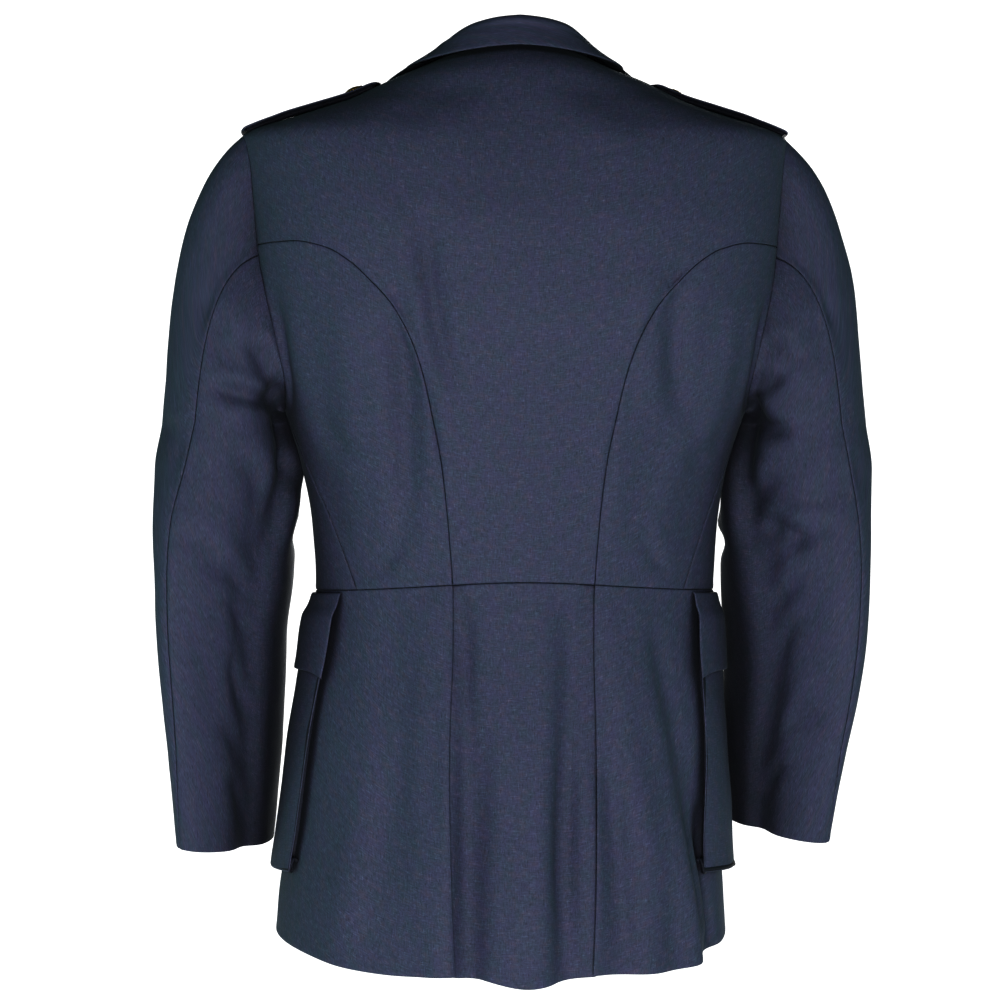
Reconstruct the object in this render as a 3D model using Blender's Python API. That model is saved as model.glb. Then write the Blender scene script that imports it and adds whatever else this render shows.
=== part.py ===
"""A military dress tunic, worn shape with no wearer in it.

Every cloth piece is a wall between two layers of points. Most pieces are laid out on one
body surface, which is a stack of rounded rings. A place on it has a turn and a level:
turn is the angle round the body in degrees, 0 at the centre back, 90 at the wearer's left
and 180 at the centre front, and level is the height in millimetres of the ring it is on.
The origin is the middle of the neck opening, +Z is up, the front faces -Y and the wearer's
left is +X. Sizes are in millimetres and become metres when a mesh is made.
"""

import bmesh
import bpy
import numpy as np
from mathutils import Matrix, Vector

MM = 0.001

CLOTH = 2.0            # thickness of one layer of cloth
DOUBLE_CLOTH = 3.0     # two layers sewn together, as in a shoulder strap
SEAM = 0.16            # each piece stops this far short of a seam line
REST = 0.35            # clearance under a piece that lies on another
LAID = 1.0             # clearance under a piece that wraps a strongly rounded one
LAPEL_CLEAR = 1.6      # a lapel rolls and does not lie pressed
UNDER_DEPTH = 2 * CLOTH + LAPEL_CLEAR + LAID     # how far the right front is tucked under the left one

# ---------------------------------------------------------------- body rings
BODY_COLUMNS = ("level", "side_z", "back_z", "front_z", "left", "right", "back", "front", "square")
BODY_ROWS = (
    (0, 0, 8, -28, 63, 63, 60, 50, 2.0),
    (-20, -20, -13, -52, 111, 111, 86, 78, 2.1),
    (-34, -34, -34, -70, 140, 140, 97, 93, 2.2),
    (-43, -43, -46, -80, 167, 167, 102, 102, 2.3),
    (-54, -54, -60, -92, 201, 201, 107, 110, 2.4),
    (-64, -64, -71, -102, 228, 228, 111, 116, 2.5),
    (-100, -100, -103, -126, 225, 225, 119, 126, 2.6),
    (-150, -150, -150, -162, 220, 220, 125, 132, 2.7),
    (-200, -200, -200, -205, 217, 217, 124, 134, 2.7),
    (-250, -250, -250, -252, 208, 208, 118, 132, 2.6),
    (-290, -290, -290, -290, 194, 194, 113, 128, 2.45),
    (-345, -345, -345, -345, 178, 177, 108, 122, 2.25),
    (-390, -391, -389, -390, 170, 170, 105, 117, 2.1),
    (-438, -443, -435, -440, 167, 167, 104, 113, 2.05),
    (-480, -482, -479, -480, 171, 167.5, 108, 115, 2.05),
    (-560, -560, -560, -560, 182, 170, 122, 119, 2.15),
    (-640, -640, -640, -640, 190, 172, 134, 123, 2.25),
    (-700, -700, -700, -700, 198, 175, 143, 127, 2.3),
    (-765, -765, -765, -765, 203, 177, 150, 131, 2.3),
)

WAIST = -438
SHOULDER_POINT = -64

# Flutes that stand out of the skirt, or sink into it where the height is negative.
FOLD_COLUMNS = ("turn_top", "turn_hem", "starts", "full", "width", "height")
SKIRT_FOLDS = (
    (26, 27, -470, -650, 5.0, 5.0),
    (16, 17, -470, -640, 4.5, -6.0),
    (0, 1, -500, -720, 8.0, 5.0),
    (-19, -13, -470, -650, 4.5, -7.5),
    (-27, -27, -600, -720, 4.5, -6.0),
    (-36, -38, -540, -700, 7.0, 7.0),
    (-50, -51, -560, -710, 5.0, 12.0),
    (-62, -62, -560, -710, 5.0, -8.0),
    (50, 52, -540, -720, 9.0, 4.0),
    (112, 114, -600, -740, 8.0, 4.0),
    (146, 150, -520, -700, 8.0, 6.0),
    (163, 164, -520, -720, 6.0, -5.0),
    (-108, -112, -590, -730, 8.0, 5.0),
    (-142, -147, -520, -710, 8.0, 6.0),
    (-162, -161, -520, -720, 6.0, -5.0),
)

# ---------------------------------------------------------------- seam lines
# Across is the distance from the middle plane and height is the real height.
PRINCESS_ROWS = (   # from the armhole round to the waist, as across, height
    (216, -157),
    (188, -157),
    (162, -163),
    (142, -175),
    (126, -190),
    (109, -209),
    (95, -233),
    (84, -262),
    (75, -300),
    (67, -341),
    (62, -385),
    (58, -437),
)
ARMHOLE_BACK = (    # turn, level, from the shoulder point down the back
    (90, -64),
    (85.5, -67),
    (82.5, -77),
    (80.8, -96),
    (80.3, -157),
    (79.5, -166),
    (76.8, -192),
    (75, -225),
    (75.5, -256),
    (79.5, -281),
    (86, -292),
    (94, -296),
)
ARMHOLE_FRONT = (   # turn, level, from the shoulder point down the front
    (90, -64),
    (94.5, -67),
    (98.5, -77),
    (102, -96),
    (108, -145),
    (114, -190),
    (116.5, -225),
    (114.5, -258),
    (107, -283),
    (94, -296),
)
SIDE_SEAM_AT_WAIST = 65
SKIRT_SEAM_LEVEL = -750
SKIRT_SEAM_AT_HEM = {1: 58, -1: 53}     # across, per side, where the lapped back seam ends
UNDERLAP_AT_WAIST = 13.8                # degrees that the centre panel runs under the side panel
UNDERLAP_AT_HEM = 9.4
NECK_FRONT = 117       # turn where the lapel's roll line leaves the neck
ROLL_END = (-16, -290)     # across and height of the lowest point of the roll line
LAPEL_TIP = (119, -92)
LAPEL_EDGE = ((104, -140), (82, -190), (48, -243), (14, -280), (-6, -288))
FRONT_LAP = 16         # each front runs this far past the middle plane

# Armhole columns of the sleeve, counted from the shoulder point down the back and up the front.
COLUMNS = 28
JUNCTION = 5           # the back seam curve meets the armhole here
HIND = 6               # the hind-arm seam starts here
SIDE = 13              # the side seam starts here
BOTTOM = 14
FORE = 20              # the fore-arm seam starts here

SHOULDER_ROWS = 4
PRINCESS_STEPS = 12

# ---------------------------------------------------------------- sleeves
SLEEVE_COLUMNS = ("height", "middle_left", "middle_right", "middle_y", "wide", "deep", "skew",
                  "hind_turn")
SLEEVE_ROWS = (
    (-305, 243.5, 243.5, 0, 52, 64, 0.08, 68),
    (-343, 240.5, 238.5, 6, 59.5, 59, 0.20, 54),
    (-390, 242, 235, 13, 59, 53, 0.36, 38),
    (-438, 243, 234.5, 16, 57, 49, 0.48, 31),
    (-482, 244.5, 235, 14, 53.5, 46, 0.56, 30),
    (-532, 243.5, 232.5, 6, 50.5, 44, 0.60, 30),
    (-582, 242, 227, -4, 47, 43, 0.62, 28),
    (-620, 242, 225, -14, 43.5, 43, 0.60, 25),
    (-655, 242.5, 224, -24, 40.5, 43, 0.58, 22),
)
CAP_ROWS = 6
ARM_ROWS = 12
FORE_TURN = 252        # where the fore-arm seam runs round the sleeve
SLEEVE_SQUARE = 2.2    # 2 is an ellipse, more is squarer
CAP_OUT_TOP, CAP_OUT_UNDER = 0.72, 0.97     # how the cap leaves the armhole: outwards
CAP_SPREAD = 0.42      # to the back and the front
CAP_FALL_TOP, CAP_RISE_UNDER = 0.72, 0.15   # downwards over the shoulder, upwards under the arm
CAP_PULL_START = (22, 235)     # limits on how far the cap keeps that direction
CAP_PULL_END = (18, 245)
ARM_LEAN = 0.09        # how far the arm leans out as it hangs
CUFF_TIP_FROM = -500   # the cuff's tilt grows from here
CUFF_TIP_BACK = 6      # how much lower the cuff is at the back than at its middle
CUFF_HANG = {1: (0.0, 0.0), -1: (9.0, 8.0)}     # per side: cuff raised, inner edge raised

# ---------------------------------------------------------------- collar
COLLAR_COLUMNS = ("turn", "lean", "rise", "leaf_turn", "leaf_level")
LEAF_HOVER = 3.0       # how far the leaf's lower edge stands off the back
COLLAR_ROWS = (
    (0, -3, 24, 0, -7),
    (35, -3, 22, 35, -8.5),
    (62, -5, 17, 61, -10),
    (90, -7, 12, 90, -11),
    (104, -6, 8, 107, -26),
    (117, -3, 4.5, 128, -43),
)
NOTCH = (86, -50)      # across and height where the collar's end leaves the lapel's top edge
NOTCH_SHARE = 0.65     # how far along the collar's end the notch is
ROLL = 6.0             # width of the collar's rolled top edge

# ---------------------------------------------------------------- pockets
POCKET_SIDES = {1: (72.0, 73.0, 122.0, 121.0), -1: (69.0, 61.0, 124.0, 118.0)}
POCKET_TOP = -466
POCKET_BOTTOM = -674
POCKET_DEPTH = 7.5
FLAP_BOTTOM = -509
FLAP_CORNER = 7            # how far the flap's corners hang below its middle
FLAP_PAST_POCKET = 1.5     # degrees that the flap covers past the pocket's edges
FLAP_CLEAR = 0.6           # between the bag and the flap that hangs over it

# ---------------------------------------------------------------- straps and buttons
STRAP_LEVELS = (-63.0, -20.5)
STRAP_HALF_WIDTH = 23.0
STRAP_POINT = 3.5      # how far the strap's middle runs past its corners at the collar
STRAP_COLUMNS = ("level", "lift")
STRAP_ROWS = ((-63, 0.4), (-60, 1.4), (-55, 3.0), (-50, 3.6), (-40, 3.2), (-28, 2.4), (-20.5, 0.6))
STRAP_BUTTON_LEVEL = -31
BUTTON_HEIGHTS = (-305, -352, -399, -452)
FRONT_BUTTON = (22.0, 6.0)
STRAP_BUTTON = (18.0, 4.2)

NAVY = (0.030, 0.036, 0.056)
NAVY_SHADE = (0.024, 0.031, 0.046)
BRASS = (0.52, 0.38, 0.15)


# ================================================================= tables
def steady(at, keys, values):
    """Smooth curve through table values that never overshoots them."""
    at = np.clip(np.asarray(at, float), keys[0], keys[-1])
    step = np.diff(keys)
    slope = np.diff(values) / step
    tangent = np.empty(len(keys))
    tangent[0] = slope[0]
    tangent[-1] = slope[-1]
    product = slope[:-1] * slope[1:]
    total = np.where(slope[:-1] + slope[1:] == 0, 1.0, slope[:-1] + slope[1:])
    tangent[1:-1] = np.where(product > 0, 2 * product / total, 0.0)
    i = np.clip(np.searchsorted(keys, at, side="right") - 1, 0, len(keys) - 2)
    t = (at - keys[i]) / step[i]
    rise = values[i + 1] - values[i]
    bend = t * t * (3 - 2 * t)
    return (values[i] + bend * rise
            + step[i] * (t * (1 - t) ** 2 * tangent[i] - t * t * (1 - t) * tangent[i + 1]))


class Table:
    """A short table that can be read between its rows."""

    def __init__(self, names, rows):
        ordered = np.array(sorted(rows), float)
        self.keys = ordered[:, 0]
        self.columns = {name: ordered[:, i] for i, name in enumerate(names)}

    def at(self, name, key):
        return steady(key, self.keys, self.columns[name])


BODY = Table(BODY_COLUMNS, BODY_ROWS)
SLEEVE = Table(SLEEVE_COLUMNS, SLEEVE_ROWS)
COLLAR = Table(COLLAR_COLUMNS, COLLAR_ROWS)
STRAP = Table(STRAP_COLUMNS, STRAP_ROWS)


def ease(value, start, end):
    """0 before start and 1 after end, with a smooth rise between."""
    t = np.clip((np.asarray(value, float) - start) / (end - start), 0, 1)
    return t * t * (3 - 2 * t)


# ================================================================= body surface
def fold_height(turn, level):
    """How far the skirt's flutes stand out at a place."""
    height = np.zeros(np.broadcast(turn, level).shape)
    for row in SKIRT_FOLDS:
        fold = dict(zip(FOLD_COLUMNS, row))
        grown = ease(level, fold["starts"], fold["full"])
        middle = fold["turn_top"] + (fold["turn_hem"] - fold["turn_top"]) * grown
        height = height + fold["height"] * grown * np.exp(-((turn - middle) / fold["width"]) ** 2)
    return height


def body(turn, level):
    """Points of the outside of the cloth, in millimetres."""
    turn = np.asarray(turn, float)
    level = np.asarray(level, float)
    turn, level = np.broadcast_arrays(turn, level)
    sine = np.sin(np.radians(turn))
    cosine = np.cos(np.radians(turn))
    half = np.where(sine >= 0, BODY.at("left", level), BODY.at("right", level))
    depth = np.where(cosine >= 0, BODY.at("back", level), BODY.at("front", level))
    square = BODY.at("square", level)
    radius = ((np.abs(cosine) / depth) ** square + (np.abs(sine) / half) ** square) ** (-1 / square)
    radius = radius + fold_height(turn, level)
    middle_z = np.where(cosine >= 0, BODY.at("back_z", level), BODY.at("front_z", level))
    side_z = BODY.at("side_z", level)
    height = side_z + (middle_z - side_z) * cosine ** 2
    return np.stack([radius * sine, radius * cosine, height], axis=-1)


def unit(vectors):
    return vectors / np.maximum(np.linalg.norm(vectors, axis=-1, keepdims=True), 1e-9)


def body_normal(turn, level):
    """Outward direction of the body surface."""
    turn, level = np.broadcast_arrays(np.asarray(turn, float), np.asarray(level, float))
    round_body = body(turn + 0.2, level) - body(turn - 0.2, level)
    up_body = body(turn, np.minimum(level + 1, 0)) - body(turn, level - 1)
    return unit(np.cross(up_body, round_body))


def place(across, height, back):
    """Turn and level of the body point with this across and height, on the wearer's left."""
    level = float(height)
    turn = 0.0
    for _ in range(40):
        half = BODY.at("left", level)
        depth = BODY.at("back" if back else "front", level)
        square = BODY.at("square", level)
        inside = max(1 - (abs(across) / half) ** square, 0.0)
        out = depth * inside ** (1 / square)
        turn = float(np.degrees(np.arctan2(across, out if back else -out)))
        level = float(np.clip(level + 0.7 * (height - body(turn, level)[2]), -765, 0))
    return turn % 360, level


# ================================================================= lines on the body
def smooth_line(points, count=240):
    """A dense smooth curve through turn, level points."""
    points = np.array(points, float)
    real = body(points[:, 0], points[:, 1])
    along = np.concatenate([[0], np.cumsum(np.linalg.norm(np.diff(real, axis=0), axis=1))])
    at = np.linspace(0, along[-1], count)
    return np.stack([steady(at, along, points[:, 0]), steady(at, along, points[:, 1])], axis=1)


def spaced(line, steps):
    """The line cut into equal real lengths: steps + 1 points."""
    real = body(line[:, 0], line[:, 1])
    along = np.concatenate([[0], np.cumsum(np.linalg.norm(np.diff(real, axis=0), axis=1))])
    at = np.linspace(0, along[-1], steps + 1)
    return np.stack([np.interp(at, along, line[:, 0]), np.interp(at, along, line[:, 1])], axis=1)


def straight(start, end, steps):
    """Evenly spaced turn, level points between two places."""
    share = np.linspace(0, 1, steps + 1)[:, None]
    return np.array(start, float) * (1 - share) + np.array(end, float) * share


def until(line, key, value):
    """The part of a line before its key column, 0 turn or 1 level, first reaches a value."""
    passed = np.nonzero(line[:, key] <= value)[0][0]
    return line[:passed + 1], line[passed:]


def armhole():
    """The armhole's COLUMNS points on the wearer's left, as turn and level."""
    back = smooth_line(ARMHOLE_BACK)
    upper, lower = until(back, 1, ARMHOLE_BACK[4][1])
    short = spaced(upper, JUNCTION)
    below_hind = spaced(lower, 60)[3:]
    lower_part = spaced(below_hind, BOTTOM - HIND)
    front = spaced(smooth_line(ARMHOLE_FRONT), COLUMNS - BOTTOM)[::-1]
    return np.concatenate([short, lower_part, front[1:-1]])


def princess():
    """The curved back seam from the armhole to the waist, as turn and level."""
    points = [place(across, height, True) for across, height in PRINCESS_ROWS]
    points[0] = tuple(armhole()[JUNCTION])
    points[-1] = (points[-1][0], WAIST)
    return spaced(smooth_line(points), PRINCESS_STEPS)


def patch(top, bottom, left, right):
    """Turn, level grid inside four lines: top and bottom run left to right."""
    u = np.linspace(0, 1, len(top))[:, None, None]
    v = np.linspace(0, 1, len(left))[None, :, None]
    top = top[:, None]
    bottom = bottom[:, None]
    left = left[None]
    right = right[None]
    corners = ((1 - u) * (1 - v) * top[:1] + u * (1 - v) * top[-1:]
               + (1 - u) * v * bottom[:1] + u * v * bottom[-1:])
    return (1 - v) * top + v * bottom + (1 - u) * left + u * right - corners


# ================================================================= walls
def trimmed(outer, inner, amount=SEAM):
    """Both layers of a grid pulled back from all four edges by the same small amount."""
    move = np.zeros_like(outer)
    for axis in (0, 1):
        for edge, near in ((0, 1), (-1, -2)):
            rim = outer.take(edge, axis=axis)
            inward = outer.take(near, axis=axis) - rim
            along = unit(np.gradient(rim, axis=0))
            inward = unit(inward - along * np.sum(inward * along, axis=-1, keepdims=True))
            part = [slice(None), slice(None)]
            part[axis] = edge
            move[tuple(part)] += amount * inward
    return outer + move, inner + move


def material(name, colour, roughness, metallic=0.0):
    found = bpy.data.materials.get(name)
    if found:
        return found
    made = bpy.data.materials.new(name)
    made.use_nodes = True
    shader = made.node_tree.nodes["Principled BSDF"]
    shader.inputs["Base Color"].default_value = (*colour, 1.0)
    shader.inputs["Roughness"].default_value = roughness
    shader.inputs["Metallic"].default_value = metallic
    return made


def add_object(name, mesh_data, surface, collection):
    mesh = bpy.data.meshes.new(name)
    mesh_data.to_mesh(mesh)
    mesh_data.free()
    mesh.materials.append(surface)
    made = bpy.data.objects.new(name, mesh)
    collection.objects.link(made)
    return made


def wall(name, outer, inner, surface, collection):
    """A closed wall of cloth between two layers of points, made from a grid and its extrusion."""
    across, down = outer.shape[0] - 1, outer.shape[1] - 1
    shape = bmesh.new()
    bmesh.ops.create_grid(shape, x_segments=across, y_segments=down, size=1)
    spots = {}
    for vert in shape.verts:
        spots[vert] = (round((vert.co.x + 1) / 2 * across), round((vert.co.y + 1) / 2 * down))
    raised = bmesh.ops.extrude_face_region(shape, geom=shape.faces[:], use_keep_orig=True)
    for vert in [item for item in raised["geom"] if isinstance(item, bmesh.types.BMVert)]:
        spot = (round((vert.co.x + 1) / 2 * across), round((vert.co.y + 1) / 2 * down))
        vert.co = Vector(outer[spot] * MM)
    for vert, spot in spots.items():
        vert.co = Vector(inner[spot] * MM)
    bmesh.ops.remove_doubles(shape, verts=shape.verts[:], dist=1e-6)
    bmesh.ops.recalc_face_normals(shape, faces=shape.faces[:])
    bmesh.ops.triangulate(shape, faces=shape.faces[:], quad_method="SHORT_EDGE")
    made = add_object(name, shape, surface, collection)
    made.data.shade_smooth()
    made.data.set_sharp_from_angle(angle=np.radians(40))
    return made


def body_wall(name, grid, lift, thick, surface, collection):
    """A wall laid on the body: grid holds turn and level, lift is its outer height there."""
    turn, level = grid[..., 0], grid[..., 1]
    points = body(turn, level)
    normal = body_normal(turn, level)
    lift = np.broadcast_to(lift, turn.shape)[..., None]
    outer, inner = trimmed(points + normal * lift, points + normal * (lift - thick))
    return wall(name, outer, inner, surface, collection)


def mirrored(line, side):
    """The same line on the left, side 1, or the right, side -1."""
    return line * np.array([side, 1.0])


def under_lap(across, side, depth):
    """How far the right front is tucked in where the left front covers it."""
    if side > 0:
        return np.zeros_like(across)
    return -depth * ease(across, -FRONT_LAP - 30, -FRONT_LAP - 4)


# ================================================================= upper body
def back_centre(surface, collection):
    shoulder = straight((90, 0), (90, SHOULDER_POINT), SHOULDER_ROWS)
    edge = np.concatenate([shoulder, armhole()[1:JUNCTION + 1], princess()[1:]])
    steps = len(edge) - 1
    spread = np.linspace(0, 1, steps + 1)
    centre_level = WAIST * (0.75 * spread + 0.25 * spread ** 2)
    share = np.linspace(-1, 1, 15)[:, None]
    turn = share * edge[None, :, 0]
    level = centre_level[None] + (edge[None, :, 1] - centre_level[None]) * share ** 2
    body_wall("back_centre", np.stack([turn, level], axis=-1), 0.0, CLOTH, surface, collection)


def side_seam(steps):
    return straight(armhole()[SIDE], (SIDE_SEAM_AT_WAIST, WAIST), steps)


def side_back(side, name, surface, collection):
    inner_edge = princess()
    top = armhole()[JUNCTION:SIDE + 1]
    bottom = straight(inner_edge[-1], (SIDE_SEAM_AT_WAIST, WAIST), len(top) - 1)
    grid = patch(top, bottom, inner_edge, side_seam(PRINCESS_STEPS))
    body_wall(name, mirrored(grid, side), 0.0, CLOTH, surface, collection)


def roll_line(steps):
    """From the neck down to the end of the lapel, on the left front."""
    neck = body(NECK_FRONT, 0)
    heights = np.linspace(neck[2], ROLL_END[1], steps + 1)
    across = np.linspace(neck[0], ROLL_END[0], steps + 1)
    points = [place(x, z, False) for x, z in zip(across, heights)]
    points[0] = (NECK_FRONT, 0.0)
    return np.array(points)


def front_edge(steps, top, bottom):
    """The straight front edge, past the middle plane, between two levels."""
    levels = np.linspace(top, bottom, steps + 1)
    return np.array([(place(-FRONT_LAP, level, False)[0], level) for level in levels])


def front(side, name, surface, collection):
    shoulder = straight((90, 0), (90, SHOULDER_POINT), SHOULDER_ROWS)
    arm = np.concatenate([armhole()[SIDE:], armhole()[:1]])[::-1]
    outer_edge = np.concatenate([shoulder, arm[1:], side_seam(PRINCESS_STEPS // 2)[1:]])
    roll = roll_line(40)
    below = front_edge(12, roll[-1, 1], WAIST)
    inner_edge = spaced(np.concatenate([roll, below[1:]]), len(outer_edge) - 1)
    top = straight(outer_edge[0], inner_edge[0], 12)
    bottom = straight(outer_edge[-1], inner_edge[-1], 12)
    grid = mirrored(patch(top, bottom, outer_edge, inner_edge), side)
    across = body(grid[..., 0], grid[..., 1])[..., 0]
    lift = under_lap(across, side, UNDER_DEPTH)
    body_wall(name, grid, lift, CLOTH, surface, collection)


def notch_dip(share):
    """How far the collar's end line bows towards the notch, part way along it."""
    notch_turn, notch_level = place(*NOTCH, False)
    straight_turn = NECK_FRONT + NOTCH_SHARE * (COLLAR_ROWS[-1][3] - NECK_FRONT)
    straight_level = NOTCH_SHARE * COLLAR_ROWS[-1][4]
    bow = share * (1 - share) / (NOTCH_SHARE * (1 - NOTCH_SHARE))
    return (notch_turn - straight_turn) * bow, (notch_level - straight_level) * bow


def gorge_line():
    """Where the collar's end meets the lapel's top edge, from the neck to the notch."""
    points = []
    for share in np.linspace(0, NOTCH_SHARE, 4):
        dip_turn, dip_level = notch_dip(share)
        points.append((NECK_FRONT + (COLLAR_ROWS[-1][3] - NECK_FRONT) * share + dip_turn,
                       COLLAR_ROWS[-1][4] * share + dip_level))
    return points


def lapel(side, name, surface, collection):
    roll = roll_line(40)[:-1]
    gorge = gorge_line() + [place(*LAPEL_TIP, False)]
    outside = [place(across, height, False) for across, height in LAPEL_EDGE]
    top = spaced(smooth_line(gorge), 6)
    right = spaced(smooth_line([gorge[-1]] + outside), 12)
    left = spaced(roll, 12)
    bottom = straight(left[-1], right[-1], 6)
    grid = mirrored(patch(top, bottom, left, right), side)
    across = body(grid[..., 0], grid[..., 1])[..., 0]
    lift = under_lap(across, side, UNDER_DEPTH) + CLOTH + LAPEL_CLEAR
    body_wall(name, grid, lift, CLOTH, surface, collection)


# ================================================================= skirt
def hem_level(turn, centre_panel):
    """Level of the skirt's lower edge."""
    turn = np.abs(turn)
    if centre_panel:
        return -758 + 8 * ease(turn, 0, 20) + 6 * ease(turn, 20, 30)
    back = -749 + 22 * ease(turn, 35, 92)
    return back - 14 * ease(turn, 92, 175)


def skirt_grid(turn_top, turn_hem, steps, centre_panel):
    share = np.linspace(0, 1, steps + 1)[None]
    hem = hem_level(turn_hem, centre_panel)[:, None]
    turn = turn_top[:, None] + (turn_hem - turn_top)[:, None] * share
    return np.stack([turn, WAIST + (hem - WAIST) * share], axis=-1)


def skirt_seam(side):
    """Turn of the lapped skirt seam at the waist and at the hem."""
    return princess()[-1, 0], place(SKIRT_SEAM_AT_HEM[side], SKIRT_SEAM_LEVEL, True)[0]


def skirt_back(surface, collection):
    top_turn, left_hem = skirt_seam(1)
    right_hem = skirt_seam(-1)[1]
    share = np.linspace(-1, 1, 21)
    hem_turn = np.where(share > 0, left_hem, right_hem)
    turn_top = share * (top_turn + UNDERLAP_AT_WAIST)
    turn_hem = share * (hem_turn + UNDERLAP_AT_HEM)
    grid = skirt_grid(turn_top, turn_hem, 8, True)
    down = (WAIST - grid[..., 1]) / (WAIST - SKIRT_SEAM_LEVEL)
    seam = top_turn + (hem_turn[:, None] - top_turn) * down
    lift = -(CLOTH + LAID) * ease(np.abs(grid[..., 0]), seam - 8, seam - 2)
    body_wall("skirt_back", grid, lift, CLOTH, surface, collection)


def skirt_side(side, name, surface, collection):
    top_turn, hem_turn = skirt_seam(side)
    front_top = place(-FRONT_LAP, WAIST, False)[0]
    front_hem = place(-FRONT_LAP, -740, False)[0]
    share = np.linspace(0, 1, 35)
    turn_top = top_turn + (front_top - top_turn) * share
    turn_hem = hem_turn + (front_hem - hem_turn) * share
    grid = mirrored(skirt_grid(turn_top, turn_hem, 8, False), side)
    across = body(grid[..., 0], grid[..., 1])[..., 0]
    in_front = np.abs(grid[..., 0]) > 120
    lift = np.where(in_front, under_lap(across, side, UNDER_DEPTH), 0.0)
    body_wall(name, grid, lift, CLOTH, surface, collection)


# ================================================================= sleeves
def sleeve_grid(side):
    """Outer and inner points of the whole sleeve: columns round it, rows down it."""
    hole = mirrored(armhole(), side)
    start = body(hole[:, 0], hole[:, 1])
    seam_normal = body_normal(hole[:, 0], hole[:, 1])
    column = np.arange(COLUMNS)

    def round_turn(hind, fore):
        """Turn round the sleeve of each column, 0 outwards and 90 to the back."""
        under = hind + (fore - hind) * (column - HIND) / (FORE - HIND)
        over_count = COLUMNS - FORE + HIND
        over_step = (column - FORE) % COLUMNS
        over = fore + (hind + 360 - fore) * over_step / over_count
        return np.where((column >= HIND) & (column <= FORE), under, over)

    def ring(height, tip):
        middle_x = SLEEVE.at("middle_left" if side > 0 else "middle_right", height)
        turn = np.radians(round_turn(SLEEVE.at("hind_turn", height), FORE_TURN))
        wide = SLEEVE.at("wide", height)
        deep = SLEEVE.at("deep", height)
        radius = ((np.abs(np.cos(turn)) / wide) ** SLEEVE_SQUARE
                  + (np.abs(np.sin(turn)) / deep) ** SLEEVE_SQUARE) ** (-1 / SLEEVE_SQUARE)
        raised, inner_raised = CUFF_HANG[side]
        low = height + tip * (raised - CUFF_TIP_BACK * np.sin(turn) - inner_raised * np.cos(turn))
        out = radius * np.cos(turn)
        back = SLEEVE.at("middle_y", height) + radius * np.sin(turn) + SLEEVE.at("skew", height) * out
        return np.stack([side * (middle_x + out), back, low], axis=-1)

    top_height = SLEEVE_ROWS[0][0]
    cuff_height = SLEEVE_ROWS[-1][0]
    first = ring(top_height, 0.0)
    share = column / COLUMNS * 2 * np.pi
    upper = (1 + np.cos(share)) / 2
    leave = unit(np.stack([side * (CAP_OUT_TOP + (CAP_OUT_UNDER - CAP_OUT_TOP) * (1 - upper)),
                           CAP_SPREAD * np.sin(share),
                           CAP_RISE_UNDER - CAP_FALL_TOP * upper], axis=-1))
    gap = np.linalg.norm(first - start, axis=1)
    pull_start = np.clip(gap * 0.95, *CAP_PULL_START)[:, None] * leave
    arrive = np.array([side * ARM_LEAN, 0.0, -1.0]) * np.clip(gap, *CAP_PULL_END)[:, None]
    rows = []
    for step in range(CAP_ROWS + 1):
        t = step / CAP_ROWS
        rows.append((2 * t ** 3 - 3 * t ** 2 + 1) * start + (t ** 3 - 2 * t ** 2 + t) * pull_start
                    + (3 * t ** 2 - 2 * t ** 3) * first + (t ** 3 - t ** 2) * arrive)
    for step in range(1, ARM_ROWS + 1):
        height = top_height + (cuff_height - top_height) * step / ARM_ROWS
        rows.append(ring(height, ease(height, CUFF_TIP_FROM, cuff_height)))
    outer = np.stack(rows, axis=1)

    round_sleeve = np.roll(outer, -1, axis=0) - np.roll(outer, 1, axis=0)
    down_sleeve = np.gradient(outer, axis=1)
    normal = unit(np.cross(round_sleeve, down_sleeve)) * -side
    bend = np.clip(np.sum(leave * seam_normal, axis=1), 0, 1)[:, None]
    normal[:, 0] = unit(seam_normal + bend * normal[:, 0])
    return outer, outer - CLOTH * normal


def sleeves(side, end, surface, collection):
    outer, inner = sleeve_grid(side)
    under = np.arange(HIND, FORE + 1)
    over = np.arange(FORE, COLUMNS + HIND + 1) % COLUMNS
    for name, columns in (("sleeve_under_", under), ("sleeve_top_", over)):
        layers = trimmed(outer[columns], inner[columns])
        wall(name + end, *layers, surface, collection)


# ================================================================= collar
def collar(surface, collection):
    turns = np.linspace(-NECK_FRONT, NECK_FRONT, 27)
    size = np.abs(turns)
    sign = np.sign(turns)
    seam = body(turns, 0.0)
    out = unit(seam * np.array([1, 1, 0]))
    up = np.array([0, 0, 1.0])
    lean = COLLAR.at("lean", size)[:, None]
    rise = COLLAR.at("rise", size)[:, None]
    leaf_turn = sign * COLLAR.at("leaf_turn", size)
    leaf_level = COLLAR.at("leaf_level", size)
    half = ROLL / 2
    drop = half * 0.7
    foot = seam - 0.8 * out + (REST + 0.1) * up
    rows = [foot,
            foot + 0.55 * (lean * out + (rise - drop) * up),
            seam + lean * out + (rise - drop) * up,
            seam + (lean + half) * out + rise * up]
    leaf_start = (lean + ROLL) * out + (rise - drop) * up
    end_share = ease(size, 92, NECK_FRONT)
    for w in (0.0, 0.3, NOTCH_SHARE, 1.0):
        dip_turn, dip_level = notch_dip(w)
        turn = turns + (leaf_turn - turns) * w + sign * end_share * dip_turn
        level = leaf_level * w + end_share * dip_level
        lift = (CLOTH + 0.8 + LEAF_HOVER * (1 - end_share[:, None])) * w
        rows.append(body(turn, level) + leaf_start * (1 - w) + body_normal(turn, level) * lift)
    outer = np.stack(rows, axis=1)
    along = np.gradient(outer, axis=0)
    over = np.gradient(outer, axis=1)
    normal = unit(np.cross(over, along))
    normal[:, 0] = -out
    outer, inner = trimmed(outer, outer - CLOTH * normal)
    wall("collar", outer, inner, surface, collection)


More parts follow.
